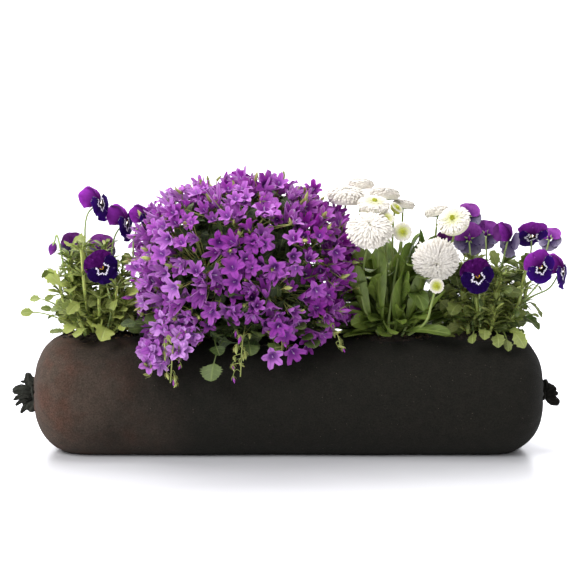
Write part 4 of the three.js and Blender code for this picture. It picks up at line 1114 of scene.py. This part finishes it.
def calyx(skin, centre, axes, size, half, finish, rng, depth, spread=2.4):
    """Five narrow green sepals that spread from the foot of n flowers. The foot lies depth along the way
    a flower looks, and the tips a share 1 / spread of their size further on."""
    n = len(centre)
    turn = np.tile(TURN * (np.arange(5) + 0.5) / 5, n)[:, None]
    right, up, front = np.repeat(axes, 5, axis=0).swapaxes(0, 1)
    size, depth = (np.repeat(np.broadcast_to(value, n), 5)[:, None] for value in (size, depth))
    out = (right * np.cos(turn) + up * np.sin(turn)) * size
    start = np.repeat(centre, 5, axis=0) + front * depth
    t = np.linspace(0, 1, 4)
    width = half * np.sin(math.pi * (0.2 + 0.8 * t)) * np.ones((5 * n, 1))
    rib = bow(start, start + out * 0.5, start + out + front * (size / spread), t)
    skin.add(*blades(rib, width, 0.4, lean=front, fold=0.15, columns=3), rng.uniform(0.3, 0.9, 5 * n), finish)


def viola_bud(skin, centre, facing, radius, rng):
    """Nodding bud: a pointed violet body held in green sepals."""
    look = unit(np.array([facing], float))
    start = np.array([centre], float) - look * radius
    body = bodies(start, start + look * radius * 2.6, radius * 0.8, [0, 0.6, 0.95, 1, 0.85, 0.5, 0], 9)
    skin.add(*body, 0.6, UPPER_BACK)
    calyx(skin, start, turned(look), radius * 0.9, 1.2, GREEN, rng, 0, 1.0)


def viola_finishes(settings):
    """The five materials of a viola, in the order of their numbers."""
    return [
        viola_petal("viola upper petal", settings.upper, colour("#862c9c")),
        viola_petal("viola lower petal", settings.lower, colour("#3a1076"), marked=True),
        viola_petal("viola petal back", settings.back, colour("#a052b0")),
        viola_petal("viola lower petal back", colour("#41325c"), colour("#8f879c")),
        stem_skin("viola stem", colour("#a8bc78"), colour("#667f40")),
    ]


# ---------------------------------------------------------------- operators


class PLANTER_OT_sleeve(bpy.types.Operator):
    """Make the felted textile tube with its openings"""

    bl_idname = "planter.sleeve"
    bl_label = "Fabric sleeve"

    def execute(self, context):
        settings = context.scene.planter_sleeve
        mesh = sleeve_mesh(settings.pleat / MM)
        piece = show("fabric_sleeve_cloth", mesh, [textile("felted textile", settings)],
                     ["fabric_sleeve"])
        wall = piece.modifiers.new("wall", "SOLIDIFY")
        wall.thickness = settings.wall
        wall.offset = -1
        return {"FINISHED"}


class PLANTER_OT_knots(bpy.types.Operator):
    """Make the gathered knots at both ends"""

    bl_idname = "planter.knots"
    bl_label = "Knots"

    def execute(self, context):
        sleeve = context.scene.planter_sleeve
        for name, knot in KNOTS.items():
            # painted light: the left knot's tone is painted lighter and greyer for the light and the
            # reflection on its folds
            cloth = textile(f"{name} gathered textile", sleeve, getattr(sleeve, knot["tone"]))
            show(f"{name}_knot_cloth", knot_mesh(knot), [cloth], [f"{name}_knot"])
        return {"FINISHED"}


class PLANTER_OT_soil(bpy.types.Operator):
    """Make the crumbly root balls and give the fill its soil"""

    bl_idname = "planter.soil"
    bl_label = "Soil"

    def execute(self, context):
        soil = potting_soil(context.scene.planter_sleeve)
        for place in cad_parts["soil_fill"].material_slots:
            place.material = soil
        rng = np.random.default_rng(SEEDS["soil"])
        for name, opening in OPENINGS.items():
            mesh = soil_mesh(f"{name}_soil", opening, rng)
            show(f"{name}_soil", mesh, [soil], [f"{name}_root_ball"])
        return {"FINISHED"}


class PLANTER_OT_viola_flowers(bpy.types.Operator):
    """Make the flowers of both viola clumps"""

    bl_idname = "planter.viola_flowers"
    bl_label = "Viola flowers"

    def execute(self, context):
        settings = context.scene.planter_viola
        finishes = viola_finishes(settings)
        rng = np.random.default_rng(SEEDS["viola_flowers"])
        for clump, flowers in (("viola_left", VIOLAS_LEFT), ("viola_right", VIOLAS_RIGHT)):
            for i, (centre, facing, roll, radius, stalk) in enumerate(flowers):
                skin = Skin()
                look = unit(np.array(facing, float))
                if radius < BUD_RADIUS:
                    viola_bud(skin, centre, facing, radius, rng)
                    behind = radius
                else:
                    viola_flower(skin, centre, facing, roll, radius, look[0] > 0.8, rng)
                    behind = 3
                top = np.array(centre) - look * behind
                stems(skin, [[top, *stalk]], settings.stalk / MM, GREEN, rng, 20)
                name = f"{clump}_flower_{i + 1}"
                show(f"{name}_petals", skin.mesh(name), finishes, [name])
        return {"FINISHED"}


class PLANTER_OT_viola_leaves(bpy.types.Operator):
    """Make the leaves and leafy stems of both viola clumps"""

    bl_idname = "planter.viola_leaves"
    bl_label = "Viola leaves"

    def execute(self, context):
        settings = context.scene.planter_viola
        leaf = leaf_skin("viola leaf", settings.leaf, colour("#3c4a20"), colour("#a4ae6c"), 5, 0.5)
        stem = stem_skin("viola leafy stem", colour("#b9c46c"), colour("#76893c"))
        rng = np.random.default_rng(SEEDS["viola_leaves"])
        # Tint ranges per clump spread older and younger leaves; the right clump's lower range paints it
        # darker, as painted shade, and the left clump's higher range makes its leaves lighter.
        for name, table, paths, height, ages_and_shade in (
            ("viola_left", VIOLA_LEFT_LEAVES, VIOLA_LEFT_STEMS, 92, (0.3, 1.1)),
            ("viola_right", VIOLA_RIGHT_LEAVES, VIOLA_RIGHT_STEMS, 78, (-0.1, 0.6)),
        ):
            skin = Skin()
            centre = (OPENINGS[name]["x"], 0, CREST)
            look = {"ripple": 0.12, "ages_and_shade": ages_and_shade}
            low = rosette(rng, centre, *ROSETTES["viola"])
            rows = table + off_faces(low)
            leaves(skin, rows, VIOLA_LEAF, rng, twist=0.5, rows=26, lean=turned_out(rows, centre), **look)
            stems(skin, paths, 5.0, 1, rng)
            branches = leafy_stems(rng, centre, 32, height)
            stems(skin, branches, 3.0, 1, rng, 10, 6)
            nodes = through(branches, np.array([0.3, 0.5, 0.75, 0.97])).reshape(-1, 3)
            twigs = off_faces(shoots(rng, nodes, centre, (14, 28), (5, 12)))
            leaves(skin, twigs, VIOLA_LEAF, rng, twist=0.7, rows=20, lean=turned_out(twigs, centre), **look)
            main = through(paths, np.array([0.3, 0.5, 0.7, 0.9, 1.0])).reshape(-1, 3)
            stipules(skin, np.concatenate([nodes, nodes, main, main, main]), rng)
            mesh = skin.mesh(f"{name}_leaves")
            show(mesh.name, mesh, [leaf, stem], [f"{name}_foliage"])
        return {"FINISHED"}


# ---------------------------------------------------------------- bellflower

BELL_FACE, BELL_BACK, STYLE, SPRAY_GREEN = range(4)
# Trails that hang out of the mound: the stem's points, bells, buds, how far they stray from the
# stem, and the way they look.
TRAILS = [
    [[(-100, -42, 150), (-124, -72, 128), (-133, -80, 90)], 17, 3, (10, 4, 6), (-0.3, -1, 0.1)],
    [[(-80, -50, 146), (-100, -78, 126), (-112, -82, 108)], 10, 2, (14, 4, 7), (0, -1, 0.1)],
    [[(-92, -50, 140), (-108, -83, 122), (-113, -86, 80)], 0, 16, (8, 2, 7), (0, -0.3, -1)],
    [[(-40, -50, 140), (-44, -83, 118), (-46, -86, 86)], 0, 13, (8, 2, 6), (0, -0.3, -1)],
    [[(-20, -50, 146), (-8, -76, 126), (-6, -80, 106)], 6, 2, (11, 4, 6), (0.2, -1, 0)],
    [[(-60, -14, 225), (-80, -24, 258), (-85, -28, 270)], 1, 3, (2, 1, 2), (-0.2, -0.3, 1)],
    [[(-4, -10, 225), (16, -20, 252), (22, -22, 262)], 5, 3, (13, 6, 3), (0.3, -0.4, 1)],
    [[(-120, -10, 190), (-128, -20, 222), (-124, -24, 236)], 4, 3, (9, 6, 4), (-0.4, -0.4, 0.8)],
    [[(10, -40, 150), (42, -66, 132), (52, -70, 108)], 0, 7, (5, 3, 4), (0.6, -0.4, -0.8)],
    [[(-96, 40, 150), (-124, 66, 128), (-136, 72, 96)], 11, 3, (12, 5, 8), (-0.4, 1, 0.1)],
    [[(0, 44, 150), (24, 64, 130), (32, 70, 104)], 8, 3, (12, 5, 8), (0.4, 1, 0.1)],
]
MOUTH = 0.42  # share of a bell's radius where its lobes part
LOBE = np.tile([1.0, 0.68, 0.1, 0.68], 5)  # how far the columns of a bell reach past its mouth
LOBE_OFF = np.tile([0.0, 0.5, 1.0, 0.5], 5)  # how far a column lies from its lobe's middle line
BELL_ROWS = np.array([0, 0.3, MOUTH, 0.74, 1, 0.74, MOUTH, 0.2, 0])  # how far out the rows are
BELL_MAP = np.stack(np.broadcast_arrays(LOBE_OFF, BELL_ROWS[:, None]), axis=-1)
SPRAYS = spiral(MOUND["spray_turns"])[: MOUND["sprays"]]


def bell_depth(radius, openness):
    """How deep a bell is: an open one is shallow."""
    return (0.62 + 0.5 * (1 - openness)) * radius


def star_bells(radius, openness, curl, phase):
    """n bells in their own frames, mouth up. Rows run from the foot up the outside, over the tips of
    the lobes and down inside to the throat. Up to the mouth the section is round; past it the radius
    grows by each column's share of a lobe, and the lobes lie flat on open bells and stand on others."""
    inside = np.array([0, 0, 0, 0, 0.5, 1, 1, 1, 1])[:, None]
    radius, openness, curl, phase = (
        np.asarray(value, float).reshape(-1, 1, 1) for value in (radius, openness, curl, phase))
    turn = steps_round(20) + 0.05 * np.sin(3 * phase)
    cup = np.minimum(BELL_ROWS / MOUTH, 1)[:, None]
    out = (np.clip(BELL_ROWS - MOUTH, 0, None) / (1 - MOUTH))[:, None] * LOBE
    r = radius * (MOUTH * cup * (0.75 + 0.25 * openness) + (1 - MOUTH) * out * (0.45 + 0.55 * openness))
    depth = bell_depth(radius, openness)
    bowl = inside * (0.45 + 0.35 * depth * (1 - cup)) - depth * (1 - cup**1.4)
    flare = 1 - openness + 0.26 * openness + 0.1 * (LOBE_OFF > 0.2) - openness * curl * out
    uneven = 0.16 * np.roll(np.sin(2.4 * np.repeat(np.arange(5), 4) + phase), -2, axis=-1)
    z = bowl + radius * out * (flare + uneven)
    return np.stack([r * np.cos(turn), r * np.sin(turn), z], axis=-1)


def add_bells(skin, place, look, radius, openness, rng, paler=0.0):
    """Bells with their styles and calyces at n places: darker and bluer towards the right end, painted shade,
    and paler by the given amount, painted light on hanging trails.
    """
    n = len(place)
    axes = turned(look, rng.uniform(0, TURN, n))
    bells = star_bells(radius, openness, rng.uniform(0.1, 0.5, n), rng.uniform(0, 6, n))
    # painted shade: the tint falls towards the right end of the mound, which paints the bells there darker
    # and bluer
    rightwards = (place[:, 0] - MOUND["centre"][0]) / MOUND["half"][0]
    tint = np.clip(rng.uniform(-0.1, 1.1, n) - 0.35 * rightwards + paler, -0.3, 1.8)
    skin.add(placed(bells, place, axes), BELL_MAP, tint, np.repeat([BELL_BACK, BELL_FACE], 4)[None, :, None])
    out = axes[:, 2]
    deep = out * (radius * 0.35)[:, None]
    skin.add(*bodies(place - deep, place + deep * 0.7, np.full(n, 0.6), [0, 0.7, 0.6, 1.2, 0], 4), 0.5, STYLE)
    depth = -bell_depth(radius, openness)
    calyx(skin, place, axes, 0.42 * radius, 0.75, SPRAY_GREEN, rng, depth, 0.9)
    return place + out * depth[:, None]


def add_buds(skin, place, look, size, rng):
    """Slender pointed buds, still folded, in their calyces. Most are green, the others violet."""
    start = place - look * size[:, None] * 0.5
    grid, uv = bodies(start, start + look * size[:, None], size * 0.17, [0, 0.75, 1, 0.9, 0.55, 0], 5)
    green = rng.uniform(0, 1, len(place)) < 0.7
    for chosen, least, most, finish in ((green, 0.5, 1, SPRAY_GREEN), (~green, 0, 0.5, BELL_BACK)):
        skin.add(grid[chosen], uv, rng.uniform(least, most, chosen.sum()), finish)
    calyx(skin, start, turned(look), size * 0.42, 0.6, SPRAY_GREEN, rng, 0, 0.7)
    return start


def add_trail(skin, trail, size, rng):
    """A hanging stem with bells and buds that stray from its outer half."""
    points, bells, buds, stray, facing = trail
    stem = through([points], doubled_ends(np.linspace(0, 1, 16)))
    skin.add(*tubes(stem, 0.6, 5), 0.6, SPRAY_GREEN)
    total = bells + buds
    place = through([points], np.linspace(0.35, 1, total))[0] + rng.uniform(-1, 1, (total, 3)) * stray
    look = unit(unit(np.array(facing, float)) + rng.normal(0, 0.3, (total, 3)))
    order = rng.permutation(total)
    blown, shut = order[:bells], order[bells:]
    if bells:
        radius = size * rng.uniform(0.85, 1.15, bells)
        # painted light: bells on trails that hang below the top of the sleeve get a higher tint, which paints
        # them paler and brighter
        paler = 0.5 if points[-1][2] < CREST else 0
        tops = add_bells(skin, place[blown], look[blown], radius, rng.uniform(0.4, 1, bells), rng, paler)
        pedicels(skin, stem[0], tops, look[blown], rng, 0.8)
    starts = add_buds(skin, place[shut], look[shut], rng.uniform(6, 10, buds), rng)
    pedicels(skin, stem[0], starts, look[shut], rng, 0.7)


def clear_of_sleeve(place, margin):
    """True outside the sleeve's section widened by a margin."""
    out = np.abs(place[:, 1]) / (SLEEVE["half_depth"] + margin)
    up = np.abs(place[:, 2] - SLEEVE["centre_height"]) / (SLEEVE["half_height"] + margin)
    return out ** SLEEVE["section_power"] + up ** SLEEVE["section_power"] > 1


def mound_places(rng, count, share, leafy_top):
    """Places on the mound that stand free of the sleeve, with the way out there. In the middle of the
    front and the back, leaves take the place of the flowers below leafy_top."""
    look = unit(spiral(count) + rng.normal(0, 0.07, (count, 3)))
    place = on_mound(look, rng.uniform(*share, count) * (1 + 0.05 * lumps(look, 0.7)))
    place[:, 1] = np.maximum(place[:, 1], MOUND["front"])
    leafy = np.abs(place[:, 0] - MOUND["centre"][0]) < MOUND["leafy_half"]
    keep = clear_of_sleeve(place, 10) & (place[:, 2] > np.where(leafy, leafy_top, MOUND["lowest"]))
    return place[keep], look[keep]


def nearest_spray(look):
    """Number of the spray whose direction is nearest to each place's."""
    return (look @ SPRAYS.T).argmax(axis=1)


def pedicels(skin, stem, tops, out, rng, diameter=1.0):
    """Thin stalks that bow out to their flowers from the outer half of a stem."""
    if not len(tops):
        return
    outer = stem[len(stem) // 2: -1]
    nearest = np.linalg.norm(tops[:, None] - outer, axis=2).argmin(axis=1)
    start = outer[np.maximum(nearest - 1, 0)]
    middle = (start + tops) / 2 - out * 4 + rng.normal(0, 2.5, tops.shape)
    bows = bow(start, middle, tops, doubled_ends(np.linspace(0, 1, 6)))
    skin.add(*tubes(bows, 0.5 * diameter, 4), rng.uniform(0.2, 0.9, len(tops)), SPRAY_GREEN)


def spray_stem(direction):
    """A spray's main stem: out of the crown, up, and out to where its flowers fork off."""
    foot = np.array([OPENINGS["campanula"]["x"] + 30 * direction[0], 22 * direction[1], FOOT])
    fork = on_mound(direction[None], 0.72)[0]
    rise = foot + (fork - foot) * 0.45
    rise[2] = max(foot[2] + 16, (foot[2] + fork[2]) / 2)
    return through([[foot, rise, fork]], doubled_ends(np.linspace(0, 1, 18)))


class PLANTER_OT_bellflower(bpy.types.Operator):
    """Make the flowering sprays of the bellflower mound"""

    bl_idname = "planter.bellflower"
    bl_label = "Bellflower sprays"

    def execute(self, context):
        settings = context.scene.planter_bellflower
        size = settings.radius / MM
        finishes = [
            bell_petal("bellflower petal", settings.face, settings.throat, False),
            bell_petal("bellflower petal back", settings.face, settings.throat, True),
            plain_part("bellflower style", colour("#d4bfe0"), 0.5),
            stem_skin("bellflower stem", colour("#a3a860"), colour("#5f7038")),
        ]
        rng = np.random.default_rng(SEEDS["bellflower"])
        place, look = mound_places(rng, settings.bells, *BELL_LAYER)
        bud_place, bud_look = mound_places(rng, *BUD_LAYER)
        lean = unit(look + np.array([0, -0.2, 0.14]) + rng.normal(0, 0.45, look.shape))
        bud_look = unit(bud_look + 0.2 * UP + rng.normal(0, 0.35, bud_look.shape))
        n = len(place)
        radius = size * rng.uniform(0.7, 1.16, n)
        openness = np.where(rng.uniform(0, 1, n) < 0.62, rng.uniform(0.65, 1, n), rng.uniform(0.05, 0.5, n))
        bell_spray, bud_spray = nearest_spray(look), nearest_spray(unit(bud_place - MOUND["centre"]))
        trail_spray = nearest_spray(unit(np.array([trail[0][-1] for trail in TRAILS]) - MOUND["centre"]))
        for i, direction in enumerate(SPRAYS):
            skin = Skin()
            bells, buds = bell_spray == i, bud_spray == i
            stem = spray_stem(direction)
            skin.add(*tubes(stem, 1.3, 6), 0.5, SPRAY_GREEN)
            tops = add_bells(skin, place[bells], lean[bells], radius[bells], openness[bells], rng)
            pedicels(skin, stem[0], tops, lean[bells], rng)
            starts = add_buds(skin, bud_place[buds], bud_look[buds], rng.uniform(6, 13, buds.sum()), rng)
            pedicels(skin, stem[0], starts, bud_look[buds], rng, 0.8)
            for trail, spray in zip(TRAILS, trail_spray):
                if spray == i:
                    add_trail(skin, trail, size, rng)
            name = f"campanula_spray_{i + 1}"
            show(f"{name}_bells", skin.mesh(name), finishes, [name])
        return {"FINISHED"}


class PLANTER_OT_bellflower_leaves(bpy.types.Operator):
    """Make the leaves under and inside the bellflower mound"""

    bl_idname = "planter.bellflower_leaves"
    bl_label = "Bellflower leaves"

    def execute(self, context):
        settings = context.scene.planter_bellflower
        leaf = leaf_skin("bellflower leaf", settings.leaf, colour("#2a3818"), colour("#7f8f4c"), 4, 0.55)
        rng = np.random.default_rng(SEEDS["bellflower_leaves"])
        skin = Skin()
        leaves(skin, CAMPANULA_LEAVES, BELLFLOWER_LEAF, rng, columns=9, rows=60, ripple=0.08)
        place, look = mound_places(rng, *LEAF_LAYER)
        n = len(place)
        along = unit(np.cross(look, rng.normal(0, 1, look.shape))) * rng.uniform(10, 17, n)[:, None]
        inner = list(zip(place - along, place + 3 * look, place + 0.7 * along, rng.uniform(8, 15, n)))
        # painted shade: the leaves inside the mound get low tints, which paint them darker
        leaves(skin, inner, SMALL_LEAF, rng, thickness=0.4, fold=0.1, ripple=0.1, stalk_width=0.5, twist=0.8,
               columns=5, rows=11, lean=look, ages_and_shade=(-0.4, 0.3))
        crown = (OPENINGS["campanula"]["x"], 0, CREST + 3)
        skirt = rosette(rng, crown, *ROSETTES["bellflower"])
        skirt = [row for row in skirt if clear_of_sleeve(np.array([row[2]]), 2)[0]]
        leaves(skin, skirt, BELLFLOWER_LEAF, rng, rows=40, lean=turned_out(skirt, crown))
        mesh = skin.mesh("campanula_leaves")
        show(mesh.name, mesh, [leaf], ["campanula_foliage"])
        return {"FINISHED"}


# ---------------------------------------------------------------- double daisies

RAY, DISC, BRACT = range(3)


def daisy_head(skin, centre, facing, radius, opened, rng):
    """The tips of the rays cover a cushion in a golden-angle spiral. At a share s of the radius it is
    high (1 - s^p)^(1/p), plus a raised rim on a young head. A ray climbs from under the rays inside it
    to its tip; those of the rim come straight out. A solid lens of the same shape fills the head.
    Florets sit in the middle, bracts underneath."""
    centre = np.array(centre, float)
    axes = turned([facing])[0]
    shut = 1 - opened
    count = int(130 + 250 * opened * min(1, radius / 17))
    i = np.arange(count)
    out_share = np.sin(0.5 * math.pi * ((i + 0.5) / count) ** 0.6) ** 0.9
    level = ways(i * GOLDEN_ANGLE + rng.normal(0, 0.05, count))

    def cushion(share):
        """Height of the cushion."""
        dome = np.clip(1 - share**2.6, 0, 1) ** (1 / 2.6)
        return radius * ((0.28 + 0.3 * opened) * dome + 0.4 * shut * share**2)

    t = np.array([0, 0.35, 0.7, 0.92, 1])
    foot_share = np.maximum(out_share - 0.5, 0.1 * out_share)
    tip_share = out_share * rng.uniform(0.95, 1.03, count)
    share = foot_share[:, None] + (tip_share - foot_share)[:, None] * t
    tip_height = cushion(out_share) + radius * rng.uniform(-0.03, 0.05, count)
    foot_height = np.minimum(cushion(foot_share) - 0.1 * radius, tip_height + 0.1 * radius)
    climb = (tip_height - foot_height)[:, None] * t
    height = foot_height[:, None] + climb + 0.05 * radius * np.sin(math.pi * t)
    rib = level[:, None] * (radius * share)[..., None] + UP * height[..., None]
    half = rng.uniform(0.8, 1.25, count)[:, None] * np.array([0.35, 0.75, 1, 0.85, 0]) * (0.55 + radius / 62)
    local, uv = blades(rib, half, 0.35, lean=0.5 * level + UP, fold=0.3, columns=3)
    stage = opened + shut * out_share**2 * 0.9 - 0.35 * (1 - out_share) * (opened < 0.8)
    skin.add(local @ axes + centre, uv, np.clip(stage, 0, 1), RAY)
    out = np.array([0, 0.5, 0.82, 0.9, 0.88, 0.76, 0.56, 0.34, 0.14, 0])
    lift = np.where(np.arange(len(out)) < 3, -0.1 * radius, cushion(out / 0.92) - 0.07 * radius)
    core = ways(steps_round(28)) * (radius * out)[:, None, None] + UP * lift[:, None, None]
    # painted shade: the lens takes v = 0.6, which paints it darker than the ray tips, for the shade under the
    # rays
    skin.add((core @ axes + centre)[None], np.array([0.5, 0.6]), opened, RAY)
    knobs = 3 if opened == 1 else 16
    k = np.arange(knobs)
    spot = np.sqrt((k + 0.5) / knobs) * radius * (0.09 + 0.12 * shut)
    foot = (ways(k * GOLDEN_ANGLE) * spot[:, None] + UP * 0.4 * radius) @ axes + centre
    tall = axes[2] * radius * (0.2 + 0.15 * shut)
    florets = bodies(foot, foot + tall, np.full(knobs, 0.7), [0, 0.8, 1, 0.8, 0], 5)
    skin.add(*florets, rng.uniform(0, 1, knobs), DISC)
    bracts(skin, centre, axes, radius, shut, rng)


def bracts(skin, centre, axes, radius, shut, rng, count=14):
    """Green cup under a head: a short cone and a ring of pointed bracts."""
    foot = centre - axes[2] * radius * 0.16
    cone = bodies(foot[None], (foot + axes[2] * radius * 0.18)[None], [radius * 0.3], [0, 0.55, 1, 1, 0], 12)
    skin.add(*cone, 0.4, BRACT)
    out = ways(steps_round(count) + rng.uniform(0, 0.2, count)) @ axes
    start = foot + out * radius * 0.08
    reach = out * radius * (0.45 + 0.25 * shut)
    tip = start + reach + axes[2] * radius * (0.1 + 0.5 * shut)
    t = np.linspace(0, 1, 6)
    half = 0.16 * radius * np.sin(math.pi * (0.25 + 0.75 * t)) * np.ones((count, 1))
    ring = blades(bow(start, start + reach * 0.6, tip, t), half, 0.5, lean=axes[2], columns=3)
    skin.add(*ring, rng.uniform(0.2, 0.8, count), BRACT)


class PLANTER_OT_daisies(bpy.types.Operator):
    """Make the heads of the double daisies on their scapes"""

    bl_idname = "planter.daisies"
    bl_label = "Daisy heads"

    def execute(self, context):
        settings = context.scene.planter_daisy
        finishes = [
            daisy_ray("daisy ray", settings.ray, settings.young),
            plain_part("daisy florets", colour("#c8cc3c"), 0.6),
            stem_skin("daisy scape", colour("#98a862"), colour("#63763a")),
        ]
        rng = np.random.default_rng(SEEDS["daisies"])
        for i, (centre, facing, radius, scape, opened) in enumerate(BELLIS_HEADS):
            skin = Skin()
            daisy_head(skin, centre, facing, radius, opened, rng)
            top = np.array(centre) - unit(np.array(facing, float)) * radius * 0.12
            stems(skin, [[top, *scape]], settings.scape / MM, BRACT, rng, 20)
            name = f"bellis_flower_{i + 1}"
            show(f"{name}_head", skin.mesh(name), finishes, [name])
        return {"FINISHED"}


class PLANTER_OT_daisy_leaves(bpy.types.Operator):
    """Make the rosette of daisy leaves"""

    bl_idname = "planter.daisy_leaves"
    bl_label = "Daisy leaves"

    def execute(self, context):
        settings = context.scene.planter_daisy
        leaf = leaf_skin("daisy leaf", settings.leaf, colour("#3c4e20"), colour("#98a85c"), 6, 0.36)
        rng = np.random.default_rng(SEEDS["daisy_leaves"])
        skin = Skin()
        centre = (OPENINGS["bellis"]["x"], 0, CREST)
        upright = rosette(rng, centre, *ROSETTES["daisy_upright"])
        low = rosette(rng, centre, *ROSETTES["daisy_low"])
        leaves(skin, BELLIS_LEAVES + upright + low, DAISY_LEAF, rng, thickness=0.6, fold=0.1, cup=0.22,
               stalk_width=1.3, twist=0.5, columns=9, rows=18)
        show("bellis_leaves", skin.mesh("bellis_leaves"), [leaf], ["bellis_foliage"])
        return {"FINISHED"}


# ---------------------------------------------------------------- stage, in metres

CAMERA = {"lens": 105.5, "place": (0.0033, -1.7, 0.36), "dip": 6.8}
# Share of the key light, size, place and target of each lamp.
LAMPS = {
    "key": (1.0, 1.1, (-1.3, -1.2, 1.5), (0, 0, 0.12)),
    "fill": (0.12, 1.4, (1.5, -1.6, 1.0), (0, 0, 0.12)),
    "top": (0.6, 1.2, (-0.3, 0.3, 1.8), (0, 0, 0.12)),
    "backdrop": (2.2, 1.6, (0, 1.0, 2.2), (0, 2.6, 0.7)),
}


class PLANTER_OT_stage(bpy.types.Operator):
    """Make the camera, the white floor that curves up behind, and the soft studio light"""

    bl_idname = "planter.stage"
    bl_label = "Stage"

    def execute(self, context):
        scene, settings = context.scene, context.scene.planter_stage
        camera = bpy.data.cameras.new("camera")
        camera.lens = CAMERA["lens"]
        camera.clip_end = 20
        scene.camera = bpy.data.objects.new("camera", camera)
        scene.camera.location = CAMERA["place"]
        scene.camera.rotation_euler = (math.radians(90 - CAMERA["dip"]), 0, 0)
        scene.collection.objects.link(scene.camera)
        scene.view_settings.view_transform = "Standard"
        self.floor(scene, settings)
        self.lights(scene, settings)
        return {"FINISHED"}

    def floor(self, scene, settings):
        """Level in front, then a quarter circle up into a wall behind the object. It is lacquered
        board: even white, with the faint mirror of a hard clear coat."""
        bend, reach, side = 0.8, 1.6, 4
        angle = np.linspace(0, math.pi / 2, 24)
        y = np.concatenate([[-side, -2, 0], reach + bend * np.sin(angle), [reach + bend]])[:, None]
        z = np.concatenate([[0, 0, 0], bend * (1 - np.cos(angle)), [side]])[:, None]
        grid = np.stack(np.broadcast_arrays([-side, side], y, z), axis=-1)
        mesh = bpy.data.meshes.new("studio_floor")
        mesh.from_pydata(grid.reshape(-1, 3), [], quads_between(len(grid), 2, closed=False).reshape(-1, 4))
        mesh.shade_smooth()
        board = Shader("studio floor", Roughness=0.24, IOR=1.75)
        place = board.add("TexCoord", output="Object")
        haze = board.add("TexNoise", {"Vector": place, "Scale": per_metre(400)})
        white = board.add("Mix", {0: haze, 6: settings.floor, 7: colour("#ececf0")}, **MIXED)
        mesh.materials.append(board.finished(white))
        floor = bpy.data.objects.new("studio_floor", mesh)
        scene.collection.objects.link(floor)

    def lights(self, scene, settings):
        """A white room and the lamps of the table, each turned so that its -Z looks at its target."""
        scene.world = bpy.data.worlds.new("white room")
        scene.world.use_nodes = True
        room = scene.world.node_tree.nodes["Background"].inputs
        room[0].default_value = colour("#ffffff")
        room[1].default_value = 0.5
        for name, (share, size, place, target) in LAMPS.items():
            lamp = bpy.data.lights.new(name, "AREA")
            lamp.energy = settings.key * share
            lamp.size = size
            holder = bpy.data.objects.new(name, lamp)
            aim = unit(np.array(target) - np.array(place))
            holder.location = place
            holder.rotation_euler = (math.acos(-aim[2]), 0, math.atan2(aim[1], aim[0]) - math.pi / 2)
            scene.collection.objects.link(holder)


class PLANTER_PT_panel(bpy.types.Panel):
    """Lists every step of the planter and its settings"""

    bl_idname = "PLANTER_PT_panel"
    bl_label = "Planted fabric sleeve"
    bl_space_type = "VIEW_3D"
    bl_region_type = "UI"
    bl_category = "Planter"

    def draw(self, context):
        for step in OPERATORS:
            self.layout.operator(step.bl_idname)
        for name, group in SETTINGS.items():
            box = self.layout.box()
            for entry in group.__annotations__:
                box.prop(getattr(context.scene, name), entry)


SETTINGS = {
    "planter_sleeve": SleeveSettings,
    "planter_viola": ViolaSettings,
    "planter_bellflower": BellflowerSettings,
    "planter_daisy": DaisySettings,
    "planter_stage": StageSettings,
}
OPERATORS = (
    PLANTER_OT_stage,
    PLANTER_OT_sleeve,
    PLANTER_OT_knots,
    PLANTER_OT_soil,
    PLANTER_OT_viola_flowers,
    PLANTER_OT_viola_leaves,
    PLANTER_OT_bellflower,
    PLANTER_OT_bellflower_leaves,
    PLANTER_OT_daisies,
    PLANTER_OT_daisy_leaves,
)


def register():
    """Registers the settings, the operators and the panel."""
    for cls in (*SETTINGS.values(), *OPERATORS, PLANTER_PT_panel):
        bpy.utils.register_class(cls)
    for name, group in SETTINGS.items():
        setattr(bpy.types.Scene, name, bpy.props.PointerProperty(type=group))


def unregister():
    """Takes all of it out again."""
    for name in SETTINGS:
        delattr(bpy.types.Scene, name)
    for cls in reversed((*SETTINGS.values(), *OPERATORS, PLANTER_PT_panel)):
        bpy.utils.unregister_class(cls)


def main():
    """Makes every piece in order."""
    register()
    for step in OPERATORS:
        category, name = step.bl_idname.split(".")
        getattr(getattr(bpy.ops, category), name)()
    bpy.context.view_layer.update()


if __name__ == "__main__":
    main()
